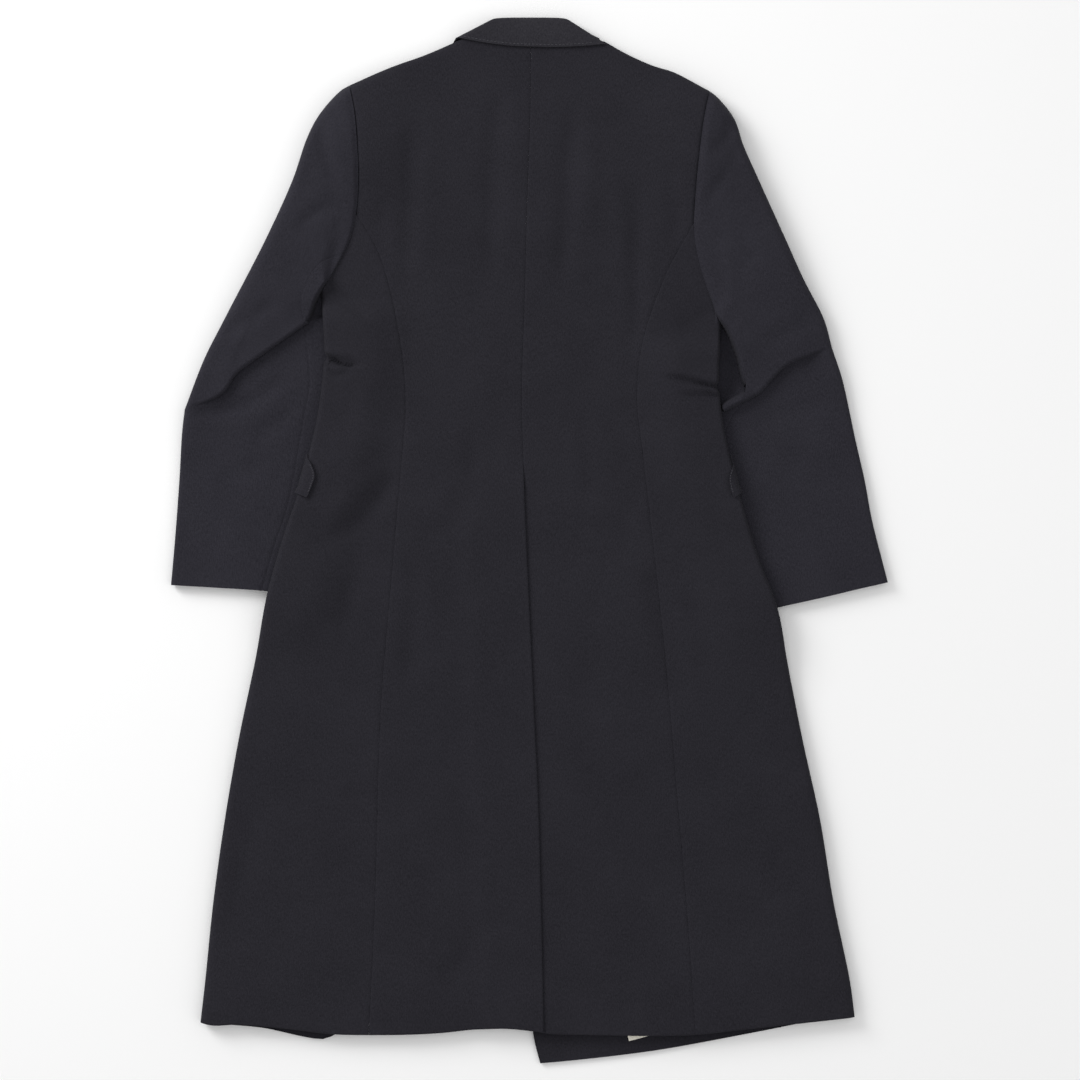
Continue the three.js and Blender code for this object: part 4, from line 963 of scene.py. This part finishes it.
def topstitch(name, cloth, line, length=3.2, gap=0.9, thick=0.32):
    """Machine topstitching: one thread bar after another, laid on a piece of cloth along a line."""
    points, reach = polyline(line)
    vertices, faces = [], []
    for start in np.arange(gap, reach[-1] - length, length + gap):
        first = len(vertices)
        for part, size in ((0, 0.25), (0.2, 0.85), (0.5, 1.0), (0.8, 0.85), (1, 0.25)):
            spot = start + part * length
            x, y = (np.interp(spot, reach, points[:, k]) for k in (0, 1))
            step = [np.interp(spot + 1, reach, points[:, k]) - np.interp(spot - 1, reach, points[:, k])
                    for k in (0, 1)]
            side = np.array([-step[1], step[0]]) / max(math.hypot(*step), 1e-9)
            over = Vector(((x + ORIGIN[0]) / 1000, (y + ORIGIN[1]) / 1000, 0.2))
            found, place, _, _ = cloth.ray_cast(over, Vector((0, 0, -1)))
            lift = 0.55 * thick * (2 * size - 1)
            middle = np.array(place if found else over) * 1000 + np.array([0, 0, lift])
            for turn in np.arange(6) * math.pi / 3:
                ring = math.cos(turn) * size * thick
                beside = [side[0] * ring, side[1] * ring, math.sin(turn) * size * thick]
                vertices.append((middle + beside) / 1000)
        for near in (first + 6 * k for k in range(4)):
            faces += [[near + j, near + (j + 1) % 6, near + 6 + (j + 1) % 6, near + 6 + j] for j in range(6)]
        faces += [[first + j for j in range(5, -1, -1)], [first + 24 + j for j in range(6)]]
    mesh = bpy.data.meshes.new(name)
    mesh.from_pydata([tuple(map(float, v)) for v in vertices], [], faces)
    for polygon in mesh.polygons:
        polygon.use_smooth = True
    mesh.materials.append(thread)
    row = bpy.data.objects.new(name, mesh)
    bpy.context.collection.objects.link(row)
    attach(row, "root")
    return row


thread = thread_and_painted_edge_highlight("polyester_thread_and_painted_edge_highlight")
# Topstitching close to the collar's edge: its pale thread is partly a painted highlight along that edge.
COLLAR_STITCH_IN = 2.4         # topstitching, in from the collar's edge
STITCHED_FROM, STITCHED_TO = -72, 70   # x of its two ends


def neck_top(at):
    return back_top(at[:, 0], np.minimum(at[:, 1], 532.0))


# The collar's cloth is the body's worsted drawn lighter: painted light, for the light falling on the top of the
# coat from the upper left.
collar_twill_painted_light = worsted_twill("collar_twill_with_painted_light", "#222126", "#343338")
fall_level = (9.0, lambda at, v: neck_top(at) + COLLAR_CLOTH + 2 * SEAM - 4 * (1 - v) ** 2, 3.0, 0.0)
fall = collar_sheet("collar_fall_cloth", FALL, COLLAR_CLOTH, collar_twill_painted_light, True, 7.0, 8.5, fall_level)
bpy.context.view_layer.update()
collar_edge, _ = through(FALL["edge_back"])
stitched = (collar_edge[:, 0] > STITCHED_FROM) & (collar_edge[:, 0] < STITCHED_TO)
stitch_path = collar_edge[stitched] + np.array([0, COLLAR_STITCH_IN])
collar_stitches = topstitch("collar_topstitching", fall, stitch_path)
declare(fall, "collar_fall")
stand_level = (9.0, lambda at, v: neck_top(at) - SEAM - 4.4 * (1 - v) ** 2, 4.0, COLLAR_CLOTH + 3 * SEAM)
stand = collar_sheet("collar_stand_cloth", STAND, STAND_CLOTH, collar_twill_painted_light, False, 4.0, 8.6, stand_level)
declare(stand, "collar_stand")

LAPELS = dict(
    left=dict(roll=[(-63, 485), (-44, 424), (-8, 326)], gorge=[(-63, 485), (-103, 471.5), (-155, 446)],
              outer=[(-155, 446), (-128, 384), (-54, 322)], foot=[(-8, 326), (-54, 322)]),
    right=dict(roll=[(65, 485), (46, 428), (-24, 266)], gorge=[(65, 485), (99, 472.5), (147, 446)],
               outer=[(147, 446), (120, 378), (58, 306), (-10, 262)], foot=[(-24, 266), (-10, 262)]),
)


def lapel_columns(length):
    return seamed_columns(length, 12, [0, 0.12 * length, 0.2 * length] if length < 30 else [0, 0.9, 2.2])


for side, table_of in LAPELS.items():
    lines = {key: through(points) for key, points in table_of.items()}
    down = np.concatenate([[0, 0.01, 0.03], np.linspace(0.06, 0.94, 22), [0.97, 0.99, 1.0]])
    p, _, from_edge = grid_of(patch(lines["gorge"], lines["foot"], lines["roll"], lines["outer"]), down,
                              lapel_columns)
    x, y = p[..., 0], p[..., 1]
    z = edge_roll(from_edge, 0.8) + 0.3 * np.abs(ripple(x, y, 30, 31.0)) * smooth(from_edge, 0, 12)
    straight_up = np.dstack([0 * x, 0 * x, 1 + 0 * x])
    lapel = cloth_sheet("lapel_" + side + "_cloth", np.dstack([x, y, z]), straight_up, LAPEL_CLOTH - 0.35,
                        coating)
    declare(lapel, "lapel_" + side)

# ---------------------------------------------------------------------------
# Pocket flaps: lined flaps sewn along their top edge to the coat's fronts. They lie under the coat,
# and the end of each turns up round the side, where it shows as a small curved tip.
FLAP = dict(top=92, bottom=46, length=150)
# How far each tip reaches in from the side fold, at heights from its lower to its upper edge
FLAP_TIPS = {"left": [(46, 11.0), (48.4, 11.9), (55, 12.9), (64, 13.5), (68.5, 13.6), (73, 12.0), (79, 8.0),
                      (84, 4.6), (88, 1.6), (92, 0.4)],
             "right": [(46, 7.2), (48, 8.0), (56, 8.6), (64, 7.9), (70, 6.2), (75, 3.0), (79, 0.6),
                       (82, 0.1), (92, 0.1)]}
FLAP_REACH, FLAP_CURL = 0.3, 1.3   # how near the tip hugs the coat, and how far it lifts at its edge
FLAP_SLANT = 5.0               # how far the lower edge rises towards the side fold
FLAP_HANG = 0.6                # how far the flap hangs clear of the front
FLAP_MADE = 1.8                # coating and lining, pressed


def flap_sheet(half):
    heights = np.concatenate([[92, 91.3, 90, 88], np.linspace(86, 52, 18), [50, 48, 46.7, 46]])
    tips = np.interp(heights, *zip(*FLAP_TIPS[half["name"]]))
    outer, inwards = [], []
    for y, tip in zip(heights, tips):
        edge = np.array([x_at(half["fold"], y), y])
        slope = (x_at(half["fold"], y + 10) - x_at(half["fold"], y - 10)) / 20
        outward = np.array([half["side"], -half["side"] * slope])
        outward /= np.linalg.norm(outward)
        radius = fold_radius(*edge)
        for_rows = []
        for upper, runs, gap in ((True, np.linspace(1, 0, 9)[:-1] * tip, FLAP_REACH),
                                 (False, ROUND_SPOTS * radius, FLAP_HANG),
                                 (False, np.linspace(radius, FLAP["length"], 26)[1:], FLAP_HANG)):
            slant = FLAP_SLANT * (1 - smooth(y, 46, 60)) * (1 - runs / tip if upper else 1)
            at = np.column_stack([edge[0] - half["side"] * runs, np.full(len(runs), y) + slant])
            gap = gap + FLAP_CURL * smooth(tip, 1, 6) * (runs / tip) ** 2 if upper else gap
            level = back_top(at[:, 0], at[:, 1]) if upper else base(at[:, 0], at[:, 1])
            z, inward = turned(upper, runs * abs(outward[0]), radius, level, mid_fold(*edge),
                               np.tile(outward, (len(runs), 1)))
            clear = FLAP_MADE + np.reshape(gap * np.ones(len(runs)), (-1, 1))
            for_rows.append((np.column_stack([at, z]) - inward * clear, inward))
        outer.append(np.concatenate([row[0] for row in for_rows]))
        inwards.append(np.concatenate([row[1] for row in for_rows]))
    outer, inwards = np.array(outer), np.array(inwards)
    outer[..., 2] = np.maximum(outer[..., 2], 0.0)
    return cloth_sheet("flap_" + half["name"] + "_cloth", outer, inwards, FLAP_MADE, coating)


# Topstitching close to each flap tip's edge: its pale thread is partly a painted highlight along that edge.
FLAP_STITCH_IN = 1.4
for half in HALVES:
    flap = flap_sheet(half)
    bpy.context.view_layer.update()
    heights = np.linspace(82, 50, 24)
    reaches = np.interp(heights, *zip(*FLAP_TIPS[half["name"]]))
    path = [(x_at(half["fold"], y) - half["side"] * (reach - FLAP_STITCH_IN), y)
            for y, reach in zip(heights, reaches) if reach > FLAP_STITCH_IN]
    stitches = topstitch("flap_topstitching_" + half["name"], flap, path, 2.4, 0.5)
    declare(flap, "flap_" + half["name"])

# ---------------------------------------------------------------------------
# Care label: a blank woven satin label inside the right front, with one corner below the back's hem.
LABEL = dict(width=45.0, height=30.0, thick=0.6, x=125.8, y=-519.7, turn=15.0)


def woven_satin(name):
    """Cream polyester satin ribbon, woven: fine even ribs that shine along the label."""
    material, tree, surface = new_material(name)
    uv = add_node(tree, "ShaderNodeUVMap", {"uv_map": "grain"}).outputs["UV"]
    rib = add_node(tree, "ShaderNodeTexWave", {"Scale": 400.0, "Distortion": 0.6},
                   {"Vector": uv}).outputs["Fac"]
    bump = add_node(tree, "ShaderNodeBump", {"Strength": 0.25, "Distance": 0.0003}, {"Height": rib})
    tree.links.new(bump.outputs["Normal"], surface.inputs["Normal"])
    surface.inputs["Base Color"].default_value = linear("#F0EBDD")
    surface.inputs["Roughness"].default_value = 0.45
    return material


across, up = np.meshgrid(np.linspace(-0.5, 0.5, 24) * LABEL["width"],
                         np.linspace(-0.5, 0.5, 16) * LABEL["height"])
turn = math.radians(LABEL["turn"])
x = LABEL["x"] + across * math.cos(turn) - up * math.sin(turn)
y = LABEL["y"] + across * math.sin(turn) + up * math.cos(turn)
z = FRONT_CLOTH + SEAM + LABEL["thick"] + 0.25 * smooth(-up, 6, 15) + 0.1 * ripple(x, y, 12, 41.0)
straight_down = np.dstack([0 * x, 0 * x, -1 + 0 * x])
label = cloth_sheet("care_label_satin", np.dstack([x, y, z]), straight_down, 0.4, woven_satin("woven_satin"))
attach(label, "root")
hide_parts("care_label")

# ---------------------------------------------------------------------------
# Front buttons: three horn-effect resin buttons, sewn through four holes to the right front. They
# lie between the front and the table.
BUTTON = dict(radius=0.0115, thick=0.0032, top=238.0, spacing=96.0, hole=0.0011, hole_from_middle=0.0022,
              rim=0.0022, dish=0.0007, bevel=0.0004, strand=0.00045, strand_proud=0.0001)


def horn_resin(name):
    """Cast polyester resin with a horn effect: nearly black, glossy, with faint brown streaks."""
    material, tree, surface = new_material(name)
    coords = add_node(tree, "ShaderNodeTexCoord").outputs["Object"]
    streak = add_node(tree, "ShaderNodeTexNoise", {"Scale": 240.0, "Detail": 3.0, "Distortion": 1.5},
                      {"Vector": coords})
    colour = add_node(tree, "ShaderNodeMix",
                      {"data_type": "RGBA", 6: linear("#141316"), 7: linear("#2A2522")},
                      {0: streak.outputs["Fac"]})
    tree.links.new(colour.outputs[2], surface.inputs["Base Color"])
    surface.inputs["Roughness"].default_value = 0.3
    return material


def rod(radius, depth, place, turn=0.0):
    bpy.ops.mesh.primitive_cylinder_add(vertices=20, radius=radius, depth=depth, location=place,
                                        rotation=(turn, 0, 0))
    made = bpy.context.object
    bpy.ops.object.transform_apply(location=True, rotation=True, scale=False)
    return made


def applied(piece, kind, **settings):
    alone(piece)
    modifier = piece.modifiers.new("made", kind)
    for key, value in settings.items():
        setattr(modifier, key, value)
    bpy.ops.object.modifier_apply(modifier=modifier.name)


horn = horn_resin("horn_effect_resin")
for i in range(3):
    x = (CENTRE_FRONT + ORIGIN[0]) / 1000
    y = (BUTTON["top"] - i * BUTTON["spacing"] + ORIGIN[1]) / 1000
    bpy.ops.mesh.primitive_cylinder_add(vertices=64, radius=BUTTON["radius"], depth=BUTTON["thick"],
                                        location=(x, y, BUTTON["thick"] / 2))
    button = bpy.context.object
    button.name = f"button_{i + 1}_horn"
    bpy.ops.object.transform_apply(location=True, rotation=False, scale=False)
    for parts in (button.data.vertices, button.data.edges, button.data.polygons):
        for part in parts:
            part.select = False
    for face in button.data.polygons:
        face.select = face.normal.z < -0.9
    alone(button)
    bpy.ops.object.mode_set(mode="EDIT")
    bpy.ops.mesh.select_mode(type="FACE")
    bpy.ops.mesh.inset(thickness=BUTTON["rim"])
    bpy.ops.transform.translate(value=(0, 0, BUTTON["dish"]))
    bpy.ops.object.mode_set(mode="OBJECT")
    applied(button, "BEVEL", width=BUTTON["bevel"], segments=3, limit_method="ANGLE",
            angle_limit=math.radians(30))
    for across in (-1, 1):
        for down in (-1, 1):
            place = (x + across * BUTTON["hole_from_middle"], y + down * BUTTON["hole_from_middle"],
                     BUTTON["thick"] / 2)
            hole = rod(BUTTON["hole"], 2 * BUTTON["thick"], place)
            applied(button, "BOOLEAN", object=hole, operation="DIFFERENCE", solver="EXACT")
            bpy.data.objects.remove(hole)
    button.data.materials.append(horn)
    alone(button)
    bpy.ops.object.shade_smooth_by_angle(angle=math.radians(40))
    for across in (-1, 1):
        place = (x + across * BUTTON["hole_from_middle"], y, BUTTON["dish"] - BUTTON["strand_proud"])
        strand = rod(BUTTON["strand"], 2 * BUTTON["hole_from_middle"] + BUTTON["hole"], place, math.pi / 2)
        strand.data.materials.append(thread)
        strand.name = f"button_{i + 1}_thread_{(across + 3) // 2}"
        bpy.ops.object.shade_smooth_by_angle(angle=math.radians(60))
        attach(strand, "root")
    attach(button, "root")
    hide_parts(f"button_{i + 1}")
